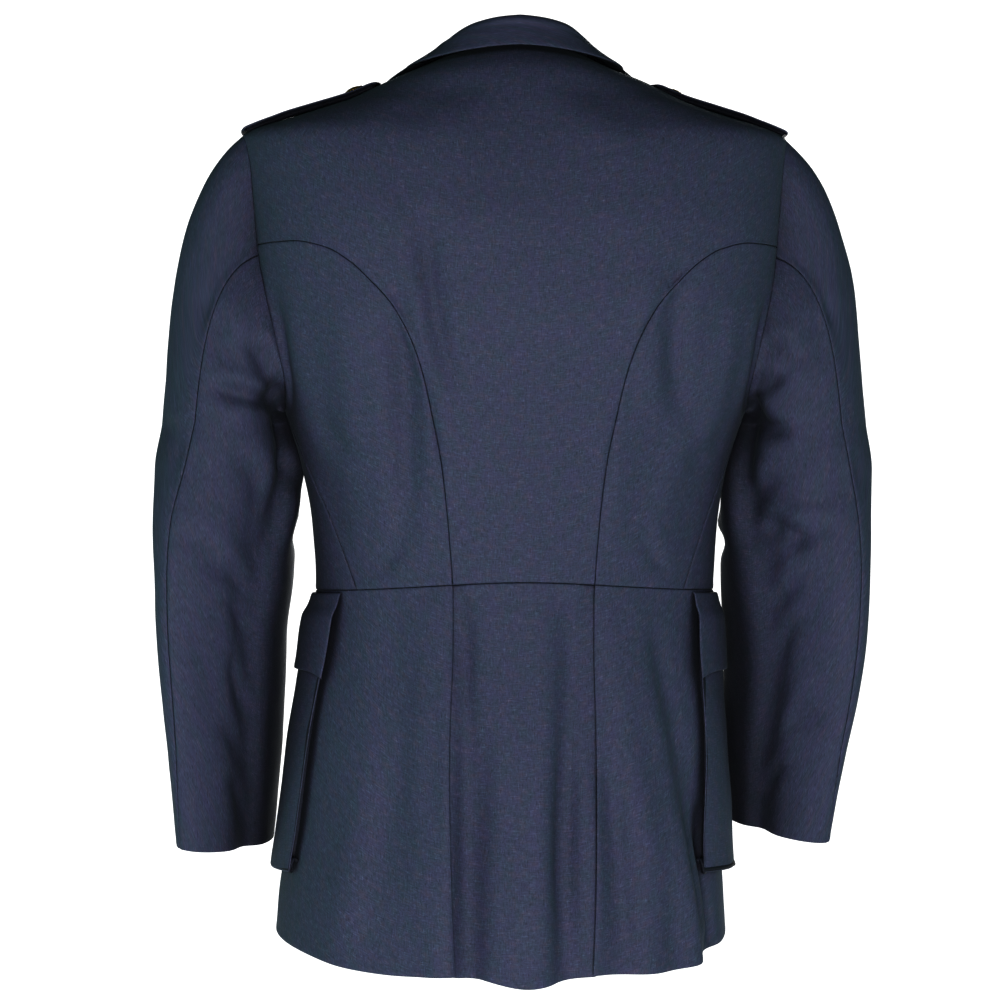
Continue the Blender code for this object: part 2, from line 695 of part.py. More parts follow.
# ================================================================= straps, pockets, flaps
def strap(side, name, surface, collection):
    levels = np.linspace(*STRAP_LEVELS, 9)
    outer_rows = []
    for offset in np.linspace(-1, 1, 5):
        reach = levels.copy()
        reach[-1] -= STRAP_POINT * offset ** 2
        radius = body(90, reach)[:, 0]
        turn = 90 + np.degrees(offset * STRAP_HALF_WIDTH / radius)
        outer_rows.append(np.stack([turn, reach], axis=-1))
    grid = mirrored(np.array(outer_rows), side)
    lift = STRAP.at("lift", grid[..., 1]) + DOUBLE_CLOTH
    body_wall(name, grid, lift, DOUBLE_CLOTH, surface, collection)


def pocket_edges(side, level, widen=0.0):
    """Turns of the pocket's back and front edges at a level."""
    back_top, back_low, front_top, front_low = POCKET_SIDES[side]
    share = (level - POCKET_TOP) / (POCKET_BOTTOM - POCKET_TOP)
    return (back_top + (back_low - back_top) * share - widen,
            front_top + (front_low - front_top) * share + widen)


def pocket(side, name, surface, collection):
    def tray(shrink):
        """Points of the bag with its gusset, smaller by shrink all round."""
        bottom = POCKET_BOTTOM + shrink
        levels = np.append(np.linspace(POCKET_TOP, bottom, 8), bottom)
        shrink_turn = np.degrees(shrink / BODY.at("left", bottom))
        columns = np.concatenate([[0], np.linspace(0, 1, 11), [1]])
        back, ahead = pocket_edges(side, levels)
        turn = (back + shrink_turn) + (ahead - back - 2 * shrink_turn) * columns[:, None]
        level = np.broadcast_to(levels, turn.shape)
        lift = np.full(turn.shape, POCKET_DEPTH - shrink)
        lift[[0, -1]] = LAID
        lift[:, -1] = LAID
        points = body(side * turn, level)
        return points + body_normal(side * turn, level) * lift[..., None]

    wall(name, tray(0.0), tray(1.6), surface, collection)


def flap(side, name, surface, collection):
    columns = np.linspace(0, 1, 11)[:, None]
    levels = np.array([WAIST - 2.0, WAIST - 14.0, POCKET_TOP + 3.0, -486.0, FLAP_BOTTOM])
    back, ahead = pocket_edges(side, levels, FLAP_PAST_POCKET)
    turn = back + (ahead - back) * columns
    level = np.broadcast_to(levels, turn.shape).copy()
    level[:, -1] -= FLAP_CORNER * (2 * columns[:, 0] - 1) ** 6
    clear = POCKET_DEPTH + FLAP_CLEAR
    lift = np.array([LAID, 0.6 * POCKET_DEPTH, clear, clear + 0.4, clear + 0.6]) + CLOTH
    grid = mirrored(np.stack([turn, level], axis=-1), side)
    body_wall(name, grid, np.broadcast_to(lift, turn.shape), CLOTH, surface, collection)


def button(name, point, normal, size, surface, collection):
    """A domed button: a flattened ball with a flat back."""
    diameter, tall = size
    shape = bmesh.new()
    bmesh.ops.create_uvsphere(shape, u_segments=12, v_segments=6, radius=1)
    for vert in shape.verts:
        vert.co.z = max(vert.co.z, 0.0)
    size_matrix = Matrix.Diagonal((diameter / 2 * MM, diameter / 2 * MM, tall * MM, 1))
    turn_matrix = Vector((0, 0, 1)).rotation_difference(Vector(normal)).to_matrix().to_4x4()
    move = Matrix.Translation(Vector(point * MM))
    bmesh.ops.transform(shape, matrix=move @ turn_matrix @ size_matrix, verts=shape.verts[:])
    made = add_object(name, shape, surface, collection)
    made.data.shade_smooth()
    return made


def buttons(surface, collection):
    for number, height in enumerate(BUTTON_HEIGHTS, start=1):
        level = place(0, height, False)[1]
        normal = body_normal(180, level)
        point = body(180, level) + normal * 0.6
        button(f"front_button_{number}", point, normal, FRONT_BUTTON, surface, collection)
    for side, end in ((1, "left"), (-1, "right")):
        level = STRAP_BUTTON_LEVEL
        normal = body_normal(side * 90, level)
        point = body(side * 90, level) + normal * (STRAP.at("lift", level) + DOUBLE_CLOTH + 0.7)
        button("strap_button_" + end, point, normal, STRAP_BUTTON, surface, collection)


# ================================================================= the tunic
def main():
    for old in list(bpy.data.objects):
        bpy.data.objects.remove(old, do_unlink=True)
    collection = bpy.data.collections.new("military_dress_tunic")
    bpy.context.scene.collection.children.link(collection)
    wool = material("navy wool", NAVY, 0.85)
    trim = material("navy wool trim", NAVY_SHADE, 0.85)
    brass = material("brass", BRASS, 0.35, 1.0)

    back_centre(wool, collection)
    skirt_back(wool, collection)
    collar(trim, collection)
    for side, end in ((1, "left"), (-1, "right")):
        side_back(side, "side_back_" + end, wool, collection)
        front(side, "front_" + end, wool, collection)
        lapel(side, "lapel_" + end, trim, collection)
        skirt_side(side, "skirt_" + end, wool, collection)
        sleeves(side, end, wool, collection)
        strap(side, "strap_" + end, trim, collection)
        pocket(side, "pocket_" + end, trim, collection)
        flap(side, "flap_" + end, trim, collection)
    buttons(brass, collection)


main()
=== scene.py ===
"""The looks of a military dress tunic, laid out as a Blender add-on and run as a script.

Every cloth piece is a thin shell on the form of its solid, finer than the solid and with its
creases, seams and turned edges. Most pieces lie on one body surface, which is a stack of rounded
rings. A place on it has a turn and a level: turn is the angle round the body in degrees, 0 at
the centre back, 90 at the wearer's left and 180 at the centre front, and level is the height
of the ring it is on. Working sizes are in millimetres and become metres in the meshes.
"""

import math

import bpy
import numpy as np
from mathutils import Matrix, Vector


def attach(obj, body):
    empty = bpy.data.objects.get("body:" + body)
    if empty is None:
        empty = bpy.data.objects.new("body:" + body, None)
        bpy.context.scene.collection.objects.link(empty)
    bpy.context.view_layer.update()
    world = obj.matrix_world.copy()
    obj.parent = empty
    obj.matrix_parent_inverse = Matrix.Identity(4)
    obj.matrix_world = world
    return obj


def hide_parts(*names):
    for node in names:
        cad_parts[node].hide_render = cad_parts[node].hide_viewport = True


bl_info = {
    "name": "Military dress tunic",
    "version": (1, 0, 0),
    "blender": (4, 5, 0),
    "location": "View3D > Sidebar > Tunic",
    "description": "Makes the cloth, sewing and buttons of a dress tunic round its solids",
    "category": "Object",
}

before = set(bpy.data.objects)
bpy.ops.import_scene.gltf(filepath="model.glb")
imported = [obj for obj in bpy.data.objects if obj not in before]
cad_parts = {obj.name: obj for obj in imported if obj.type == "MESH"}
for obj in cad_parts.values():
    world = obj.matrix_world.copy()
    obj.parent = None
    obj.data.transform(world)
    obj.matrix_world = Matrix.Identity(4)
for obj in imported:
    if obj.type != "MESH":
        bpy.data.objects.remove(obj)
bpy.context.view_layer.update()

MM = 0.001
SIDES = ((1, "left"), (-1, "right"))     # the wearer's
CLOTH = 2.0            # the solids' wall, and the depth that a lap or tuck leaves room for
LAID = 1.0             # clearance under a piece that wraps a strongly rounded one
LAPEL_CLEAR = 1.6      # a lapel rolls and does not lie pressed
UNDER_DEPTH = 2 * CLOTH + LAPEL_CLEAR + LAID     # how far the right front is tucked under

# ---------------------------------------------------------------- body rings
BODY_COLUMNS = ("level", "side_z", "back_z", "front_z", "left", "right", "back", "front", "square")
BODY_ROWS = (
    (0, 0, 8, -28, 63, 63, 60, 50, 2.0),
    (-20, -20, -13, -52, 111, 111, 86, 78, 2.1),
    (-34, -34, -34, -70, 140, 140, 97, 93, 2.2),
    (-43, -43, -46, -80, 167, 167, 102, 102, 2.3),
    (-54, -54, -60, -92, 201, 201, 107, 110, 2.4),
    (-64, -64, -71, -102, 228, 228, 111, 116, 2.5),
    (-100, -100, -103, -126, 225, 225, 119, 126, 2.6),
    (-150, -150, -150, -162, 220, 220, 125, 132, 2.7),
    (-200, -200, -200, -205, 217, 217, 124, 134, 2.7),
    (-250, -250, -250, -252, 208, 208, 118, 132, 2.6),
    (-290, -290, -290, -290, 194, 194, 113, 128, 2.45),
    (-345, -345, -345, -345, 178, 177, 108, 122, 2.25),
    (-390, -391, -389, -390, 170, 170, 105, 117, 2.1),
    (-438, -443, -435, -440, 167, 167, 104, 113, 2.05),
    (-480, -482, -479, -480, 171, 167.5, 108, 115, 2.05),
    (-560, -560, -560, -560, 182, 170, 122, 119, 2.15),
    (-640, -640, -640, -640, 190, 172, 134, 123, 2.25),
    (-700, -700, -700, -700, 198, 175, 143, 127, 2.3),
    (-765, -765, -765, -765, 203, 177, 150, 131, 2.3),
)
WAIST = -438
SHOULDER_POINT = -64
PLACE_ROUNDS, PLACE_GAIN = 40, 0.7     # steps towards a height, and how much of the way each goes

# Flutes that stand out of the skirt, or sink into it where the height is negative.
FOLD_COLUMNS = ("turn_top", "turn_hem", "starts", "full", "width", "height")
SKIRT_FOLDS = (
    (26, 27, -470, -650, 5.0, 5.0),
    (16, 17, -470, -640, 4.5, -6.0),
    (0, 1, -500, -720, 8.0, 5.0),
    (-19, -13, -470, -650, 4.5, -7.5),
    (-27, -27, -600, -720, 4.5, -6.0),
    (-36, -38, -540, -700, 7.0, 7.0),
    (-50, -51, -560, -710, 5.0, 12.0),
    (-62, -62, -560, -710, 5.0, -8.0),
    (50, 52, -540, -720, 9.0, 4.0),
    (112, 114, -600, -740, 8.0, 4.0),
    (146, 150, -520, -700, 8.0, 6.0),
    (163, 164, -520, -720, 6.0, -5.0),
    (-108, -112, -590, -730, 8.0, 5.0),
    (-142, -147, -520, -710, 8.0, 6.0),
    (-162, -161, -520, -720, 6.0, -5.0),
)

# ---------------------------------------------------------------- seam lines
PRINCESS_ROWS = (      # across and height, from the armhole round to the waist
    (216, -157),
    (188, -157),
    (162, -163),
    (142, -175),
    (126, -190),
    (109, -209),
    (95, -233),
    (84, -262),
    (75, -300),
    (67, -341),
    (62, -385),
    (58, -437),
)
ARMHOLE_BACK = (       # turn and level, from the shoulder point down the back
    (90, -64),
    (85.5, -67),
    (82.5, -77),
    (80.8, -96),
    (80.3, -157),
    (79.5, -166),
    (76.8, -192),
    (75, -225),
    (75.5, -256),
    (79.5, -281),
    (86, -292),
    (94, -296),
)
ARMHOLE_FRONT = (      # turn and level, from the shoulder point down the front
    (90, -64),
    (94.5, -67),
    (98.5, -77),
    (102, -96),
    (108, -145),
    (114, -190),
    (116.5, -225),
    (114.5, -258),
    (107, -283),
    (94, -296),
)
JUNCTION_LEVEL = -157  # the curved back seam meets the armhole here
BACK_ROW_AT_CORNER = -112      # centre level of the row of points that ends in that corner
EVEN_DOWN, EVEN_ASIDE = 20, 30 # how far from the shoulder point, and in from an edge, it is evened
SIDE_SEAM_AT_WAIST = 65
SKIRT_SEAM_LEVEL = -750
SKIRT_SEAM_AT_HEM = {1: 58, -1: 53}
UNDERLAP_AT_WAIST = 13.8
UNDERLAP_AT_HEM = 9.4
UNDERLAP_RAMP = (8, 2) # degrees before the lapped seam over which the back skirt sinks under it
# The hem's level in the middle, then its rises: how far, from which turn and to which.
HEM_BACK = (-758, ((8, 0, 20), (6, 20, 30)))
HEM_SIDE = (-749, ((22, 35, 92), (-14, 92, 175)))
FRONT_HEM_LEVEL = -740
IN_FRONT = 120         # the laps of the front edge lie past this turn
NECK_FRONT = 117
ROLL_END = (-16, -290)
LAPEL_TIP = (119, -92)
LAPEL_EDGE = ((104, -140), (82, -190), (48, -243), (14, -280), (-6, -288))
FRONT_LAP = 16
UNDER_RAMP = (30, 4)   # the right front is tucked under between these distances past its edge

# Armhole columns of a sleeve, counted from the shoulder point down the back and up the front.
COLUMNS = 28
JUNCTION = 5
HIND = 6
SIDE = 13
BOTTOM = 14
FORE = 20
HIND_SHARE = 0.05      # how much of the lower back armhole lies between the junction and the hind

# ---------------------------------------------------------------- sleeves
SLEEVE_COLUMNS = ("height", "middle_left", "middle_right", "middle_y", "wide", "deep", "skew",
                  "hind_turn")
SLEEVE_ROWS = (
    (-305, 243.5, 243.5, 0, 52, 64, 0.08, 68),
    (-343, 240.5, 238.5, 6, 59.5, 58, 0.26, 54),
    (-390, 242, 235, 12, 59, 51, 0.50, 38),
    (-438, 243, 234.5, 14, 57, 45, 0.68, 31),
    (-482, 244.5, 235, 11, 53.5, 41, 0.80, 30),
    (-532, 243.5, 232.5, 3, 50.5, 39, 0.86, 30),
    (-582, 242, 227, -7, 47, 38, 0.88, 28),
    (-620, 242, 225, -17, 43.5, 38, 0.88, 25),
    (-655, 242.5, 224, -27, 40.5, 38, 0.86, 22),
)
FORE_TURN = 252
SLEEVE_SQUARE = 2.2
CAP_OUT_TOP, CAP_OUT_UNDER = 0.72, 0.97
CAP_SPREAD = 0.42
CAP_FALL_TOP, CAP_RISE_UNDER = 0.72, 0.15
CAP_PULL_SHARE = 0.95  # of the gap between the armhole and the first ring of the arm
CAP_PULL_START = (22, 235)
CAP_PULL_END = (18, 245)
ARM_LEAN = 0.09
CUFF_TIP_FROM = -500
CUFF_TIP_BACK = 6
CUFF_HANG = {1: (0.0, 0.0), -1: (9.0, 8.0)}    # how much higher a cuff is, and its inner side
CAP_TUCK = (1.5, 2.0)  # how far back and how far in the seam allowance of a sleeve's head goes
ARM_MM_PER_DEGREE = 0.95
ARM_HOLLOW = 6.0       # how far a sleeve's side next to the body falls in
HOLLOW_RISE, HOLLOW_FALL, HOLLOW_DOWN = (90, 135), (140, 184), (250, 400)
ARM_AXIS = 240.0
WEAVE_SHIFT = 40       # between one piece's weave and the next one's

# ---------------------------------------------------------------- collar
COLLAR_COLUMNS = ("turn", "lean", "rise", "leaf_turn", "leaf_level")
LEAF_HOVER = 3.0       # how far the leaf's lower edge stands off the back
COLLAR_ROWS = (
    (0, -3, 24, 0, -7),
    (35, -3, 22, 35, -8.5),
    (62, -5, 17, 61, -10),
    (90, -7, 12, 90, -11),
    (104, -6, 8, 107, -26),
    (117, -3, 4.5, 128, -43),
)
LEAF_END = COLLAR_ROWS[-1][3:]         # turn and level of the leaf's front corner
NOTCH = (86, -50)
NOTCH_SHARE = 0.65
COLLAR_ROLL = 6.0      # width of the collar's rolled top edge
ROLL_ROUND = 0.7       # how far the roll's sides lie below its top, in half widths
COLLAR_FOOT = (2.4, 3.5)       # how far the stand's foot goes in and down past the neck seam
STAND_SHARE, STAND_IN = 0.55, 0.9      # a row of points part way up the stand
LEAF_CLEAR = 0.8
LEAF_SHARES = (0.0, 0.3, NOTCH_SHARE, 1.0)
COLLAR_END = 92        # from this turn on, the leaf's end lies flat

# ---------------------------------------------------------------- pockets, straps, buttons
POCKET_SIDES = {1: (72.0, 73.0, 122.0, 121.0), -1: (69.0, 61.0, 124.0, 118.0)}
POCKET_TOP = -466
POCKET_BOTTOM = -674
POCKET_DEPTH = 7.5
FLAP_BOTTOM = -509
FLAP_CORNER = 7
FLAP_PAST_POCKET = 1.5
FLAP_CLEAR = 0.6
FLAP_TOP = WAIST - 2.0
FLAP_ROWS = (
    (FLAP_TOP, LAID),
    (WAIST - 14.0, 0.6 * POCKET_DEPTH),
    (POCKET_TOP + 3.0, POCKET_DEPTH + FLAP_CLEAR),
    (-486.0, POCKET_DEPTH + FLAP_CLEAR + 0.4),
    (FLAP_BOTTOM, POCKET_DEPTH + FLAP_CLEAR + 0.6),
)
STRAP_LEVELS = (-63.0, -20.5)
STRAP_HALF_WIDTH = 23.0
STRAP_POINT = 3.5
STRAP_POINT_FROM = -26
STRAP_CLOTH = 3.0
STRAP_PADDED = 5.8     # with the stiffening that fills the strap down to the shoulder
STRAP_DIP = (1.5, -27, -21)    # how much lower the inner end is, and over which levels
STRAP_PAINTED_SHADE_ROWS = 2        # rows of faces along each long edge that take the dark lining as painted shade
LIFT_COLUMNS = ("level", "lift")
STRAP_ROWS = ((-63, 0.4), (-60, 1.4), (-55, 3.0), (-50, 3.6), (-40, 3.2), (-28, 2.4), (-20.5, 0.6))
STRAP_BUTTON_LEVEL = -31
GUSSET = ((9.0, 0.6), (10.5, 1.6), (11.5, 3.0), (10.5, 4.6), (7.0, 5.6), (3.0, 6.3), (0.6, 6.8),
          (0.0, 7.2), (1.0, 7.5))      # inset and lift of the bag's side, from the skirt outwards
POCKET_SLACK = 3.0     # how far the loose bag stands out towards its bottom
SLACK_ROUND, SLACK_DOWN, SLACK_ABOVE = 0.7, (520, 640), 6     # on the bag's face alone
POCKET_CLOTH = 1.2
BUTTON_OUTLINE = ((0.16, 0.99), (0.34, 0.95), (0.52, 0.85), (0.68, 0.70), (0.78, 0.56),
                  (0.82, 0.50), (0.86, 0.50), (0.91, 0.58), (0.96, 0.56), (1.0, 0.42), (1.0, 0.14),
                  (0.96, 0.0))         # share of its radius and height, from the middle outwards
BUTTON_HEIGHTS = (-305, -352, -399, -452)
FRONT_BUTTON = (22.0, 6.0)     # width and height
STRAP_BUTTON = (18.0, 4.2)
BUTTON_LIFT = 0.6
SHARP_ANGLE = 50
STRAP_BUTTON_SUNK = 0.7        # its shank pulls it down into the padded strap
BUTTONHOLE = (22.0, 3.4)
BUTTONHOLE_MIDDLE = -8.0       # towards the front edge, so that only its end shows
TWIST_RADIUS = 0.35    # of a ring of radius 1, before it is drawn out to the buttonhole's size
TWIST_LIFT, TWIST_RAISED = 0.35, 1.6

# Rough lengths, which only set how many rows of points a piece gets.
HALF_BACK = 190.0
SKIRT_DROP, SKIRT_GIRTH, HALF_SKIRT_BACK = 315.0, 460.0, 80.0
CAP_LENGTH, ARM_LENGTH, UNDER_GIRTH, TOP_GIRTH = 200.0, 350.0, 150.0, 190.0
HALF_COLLAR = 150.0
STRAP_LENGTH = 122.0
POCKET_WIDTH, POCKET_LENGTH = 140.0, 200.0
FLAP_WIDTH, FLAP_DROP = 150.0, 72.0
FINE_STEP = 3.0        # spacing of points on the small pieces
FINEST_STEP = 2.5

# ---------------------------------------------------------------- how cloth is sewn and creased
EDGE_NAMES = ("left", "right", "top", "bottom")
EDGE_COLUMNS = ("roll", "sink", "ridge", "free")
EDGES = {
    "seam": (1.4, 1.4, 0.25, False),     # turned in and sewn to its neighbour
    "fold": (1.1, 1.0, 0.20, True),      # turned under and left free
    "under": (0.8, 0.8, 0.0, False),     # hidden under another piece
}
EDGE_STEPS = (0.0, 0.35, 0.8, 1.5, 2.8, 4.6, 7.0)     # rows of points laid in from an edge
RIDGE_AT, RIDGE_WIDTH = 3.6, 2.6       # the seam allowance pressed up beside a seam
PUCKER_WAVE, PUCKER_DRIFT, PUCKER_REACH, PUCKER = 11.0, 23.0, 7.0, 0.10
RIPPLES = ((120, 0.75), (70, 0.45), (38, 0.16), (21, 0.05))     # wavelength and height
RIPPLE_FADE, SEAM_FADE = 30, 9         # how near an edge ripples, or a seam creases, die away
THIN_EDGE = 0.04       # least share of the cloth's thickness at a turned-under edge
CREASE_RISE, CREASE_FALL = (-0.25, 0.3), (0.7, 1.25)   # shares of a crease's length
BESIDE, BESIDE_AT, BESIDE_WIDTH = 0.45, 1.8, 1.1       # the swell that runs beside a crease
CREASE_COLUMNS = ("turn_a", "height_a", "turn_b", "height_b", "width", "height", "bow")
BACK_CREASES = (       # turn and height of both ends, on the wearer's left where positive
    (34, -140, 28, -272, 9, -2.6, 4),
    (41, -205, 47, -390, 12, -3.0, -4),
    (54, -205, 62, -390, 17, 1.8, 0),
    (73, -196, 80, -292, 12, -2.6, -5),
    (-48, -182, -54, -292, 12, -3.0, 5),
    (-63, -215, -66, -330, 13, 1.6, 0),
    (-74, -205, -80, -290, 10, -2.4, 4),
    (30, -262, 35, -352, 16, 1.4, 3),
    (-33, -300, -37, -400, 15, 1.2, -3),
    (-60, -250, -52, -400, 15, 1.2, 0),
    (9, -330, 4, -425, 22, 0.8, 0),
    (68, -300, 60, -330, 9, -1.2, 3),
    (-70, -310, -61, -338, 9, -1.2, -3),
    (58, -425, 49, -398, 8, -0.9, 3),
    (-57, -424, -49, -396, 8, -0.9, -3),
    (20, -30, 45, -60, 16, -1.2, 6),
    (-20, -30, -45, -60, 16, -1.2, -6),
)
FRONT_CREASES = (
    (112, -235, 128, -290, 13, -2.0, 6),
    (-112, -240, -127, -300, 13, -2.0, -6),
    (160, -330, 140, -355, 9, -1.3, 4),
    (160, -378, 136, -392, 9, -1.2, -3),
    (-160, -340, -142, -366, 9, -1.2, 4),
    (-158, -395, -138, -408, 9, -1.0, 3),
    (100, -330, 112, -400, 14, 1.2, 0),
    (-100, -330, -113, -405, 14, 1.2, 0),
    (108, -90, 120, -150, 15, -1.5, 5),
    (-108, -90, -121, -152, 15, -1.5, -5),
)
SKIRT_CREASES = (
    (45, -452, 47, -600, 13, 1.2, 0),
    (-46, -450, -50, -590, 13, 1.3, 0),
    (150, -470, 140, -560, 12, -1.5, 4),
    (-150, -468, -140, -550, 12, -1.4, -4),
    (25, -450, 19, -748, 9, -3.2, 0),
    (-20, -455, -11, -752, 12, -3.2, -1),
    (-30, -590, -31, -750, 9, -2.2, 0),
    (-36, -460, -43, -690, 15, 2.4, 4),
    (-52, -480, -56, -700, 13, -2.6, -3),
    (-64, -620, -66, -735, 7, -2.4, 2),
    (-58, -650, -60, -740, 7, 2.0, -2),
    (38, -455, 32, -720, 13, 1.6, 3),
    (48, -470, 47, -740, 15, -2.0, -3),
)
# Creases of the sleeves: turn round the arm, 0 outwards, 90 to the back and 180 to the body.
LEFT_ARM_CREASES = (
    (152, -250, 160, -400, 13, -4.2, 3),
    (118, -262, 146, -300, 8, -3.0, 5),
    (96, -330, 130, -372, 10, -1.8, 4),
    (104, -500, 130, -540, 10, -2.0, -4),
    (70, -200, 92, -262, 10, -1.8, 4),
    (100, -600, 122, -632, 9, -1.5, 3),
    (84, -276, 140, -284, 7.5, -3.6, -4),
    (104, -240, 128, -262, 8, -2.6, 3),
    (128, -252, 100, -300, 9, 1.6, 4),
    (76, -420, 126, -452, 9, -2.4, 5),
    (98, -446, 132, -474, 8, -1.8, -3),
    (60, -395, 86, -418, 9, -1.2, 3),
    (88, -556, 112, -580, 9, -1.4, 3),
    (30, -300, 58, -345, 12, -1.6, 5),
    (205, -300, 256, -322, 10, -3.0, 5),
    (200, -395, 268, -418, 9, -3.4, 6),
    (226, -440, 292, -452, 9, -2.8, -5),
    (262, -376, 318, -390, 10, -1.8, -4),
    (240, -500, 286, -520, 10, -1.6, 3),
    (150, -330, 186, -362, 9, -2.0, 3),
    (320, -250, 300, -330, 14, -1.6, 5),
)
RIGHT_ARM_CREASES = (
    (152, -250, 160, -400, 13, -4.2, 3),
    (114, -268, 146, -262, 8, -2.8, -4),
    (70, -388, 104, -410, 8, -2.2, 4),
    (92, -430, 128, -452, 9, -1.8, -4),
    (72, -205, 92, -255, 10, -1.8, 4),
    (96, -590, 122, -616, 9, -1.5, 3),
    (104, -254, 134, -244, 7.5, -3.0, 4),
    (110, -312, 146, -292, 8, -3.4, -5),
    (88, -406, 140, -392, 8.5, -3.0, 6),
    (120, -350, 150, -372, 9, -1.6, 3),
    (70, -548, 98, -556, 11, -1.6, 3),
    (52, -330, 80, -372, 12, -1.5, -4),
    (96, -470, 126, -500, 9, -1.4, 3),
    (206, -306, 254, -330, 10, -3.0, 5),
    (202, -402, 262, -424, 9, -3.4, 6),
    (232, -452, 290, -460, 9, -2.4, -5),
    (268, -370, 316, -384, 10, -1.8, -4),
    (236, -520, 280, -534, 10, -1.6, 3),
    (318, -246, 302, -322, 14, -1.6, 5),
)


# ================================================================= tables
def steady(at, keys, values):
    """Smooth curve through table values that never overshoots them."""
    at = np.clip(np.asarray(at, float), keys[0], keys[-1])
    step = np.diff(keys)
    slope = np.diff(values) / step
    tangent = np.empty(len(keys))
    tangent[0] = slope[0]
    tangent[-1] = slope[-1]
    product = slope[:-1] * slope[1:]
    total = np.where(slope[:-1] + slope[1:] == 0, 1.0, slope[:-1] + slope[1:])
    tangent[1:-1] = np.where(product > 0, 2 * product / total, 0.0)
    i = np.clip(np.searchsorted(keys, at, side="right") - 1, 0, len(keys) - 2)
    t = (at - keys[i]) / step[i]
    rise = values[i + 1] - values[i]
    bend = t * t * (3 - 2 * t)
    return (values[i] + bend * rise
            + step[i] * (t * (1 - t) ** 2 * tangent[i] - t * t * (1 - t) * tangent[i + 1]))


class Table:
    """A short table that can be read between its rows."""

    def __init__(self, names, rows):
        ordered = np.array(sorted(rows), float)
        self.keys = ordered[:, 0]
        self.columns = {name: ordered[:, i] for i, name in enumerate(names)}

    def at(self, name, key):
        return steady(key, self.keys, self.columns[name])


BODY = Table(BODY_COLUMNS, BODY_ROWS)
SLEEVE = Table(SLEEVE_COLUMNS, SLEEVE_ROWS)
COLLAR = Table(COLLAR_COLUMNS, COLLAR_ROWS)
STRAP = Table(LIFT_COLUMNS, STRAP_ROWS)
FLAP = Table(LIFT_COLUMNS, FLAP_ROWS)


def ease(value, start, end):
    """0 before start and 1 after end, with a smooth rise between."""
    t = np.clip((np.asarray(value, float) - start) / (end - start), 0, 1)
    return t * t * (3 - 2 * t)


def paired(first, second):
    """Two grids of numbers as one grid of pairs."""
    return np.stack(np.broadcast_arrays(first, second), axis=-1)


def unit(vectors):
    return vectors / np.maximum(np.linalg.norm(vectors, axis=-1, keepdims=True), 1e-9)


# ================================================================= body surface
def fold_height(turn, level):
    """How far the skirt's flutes stand out at a place."""
    height = np.zeros(np.broadcast(turn, level).shape)
    for row in SKIRT_FOLDS:
        fold = dict(zip(FOLD_COLUMNS, row))
        grown = ease(level, fold["starts"], fold["full"])
        middle = fold["turn_top"] + (fold["turn_hem"] - fold["turn_top"]) * grown
        height = height + fold["height"] * grown * np.exp(-((turn - middle) / fold["width"]) ** 2)
    return height


def body(turn, level):
    """Points of the outside of the cloth, in millimetres."""
    turn = np.asarray(turn, float)
    level = np.asarray(level, float)
    turn, level = np.broadcast_arrays(turn, level)
    sine = np.sin(np.radians(turn))
    cosine = np.cos(np.radians(turn))
    half = np.where(sine >= 0, BODY.at("left", level), BODY.at("right", level))
    depth = np.where(cosine >= 0, BODY.at("back", level), BODY.at("front", level))
    square = BODY.at("square", level)
    radius = (np.abs(cosine) / depth) ** square + (np.abs(sine) / half) ** square
    radius = radius ** (-1 / square)
    radius = radius + fold_height(turn, level)
    middle_z = np.where(cosine >= 0, BODY.at("back_z", level), BODY.at("front_z", level))
    side_z = BODY.at("side_z", level)
    height = side_z + (middle_z - side_z) * cosine ** 2
    return np.stack([radius * sine, radius * cosine, height], axis=-1)


def body_normal(turn, level):
    """Outward direction of the body surface."""
    turn, level = np.broadcast_arrays(np.asarray(turn, float), np.asarray(level, float))
    round_body = body(turn + 0.2, level) - body(turn - 0.2, level)
    up_body = body(turn, np.minimum(level + 1, 0)) - body(turn, level - 1)
    return unit(np.cross(up_body, round_body))


def place(across, height, back):
    """Turn and level of the body point with this across and height, on the wearer's left."""
    level = float(height)
    turn = 0.0
    for _ in range(PLACE_ROUNDS):
        half = BODY.at("left", level)
        depth = BODY.at("back" if back else "front", level)
        square = BODY.at("square", level)
        inside = max(1 - (abs(across) / half) ** square, 0.0)
        out = depth * inside ** (1 / square)
        turn = float(np.degrees(np.arctan2(across, out if back else -out)))
        level += PLACE_GAIN * (height - body(turn, level)[2])
        level = float(np.clip(level, BODY_ROWS[-1][0], 0))
    return turn % 360, level


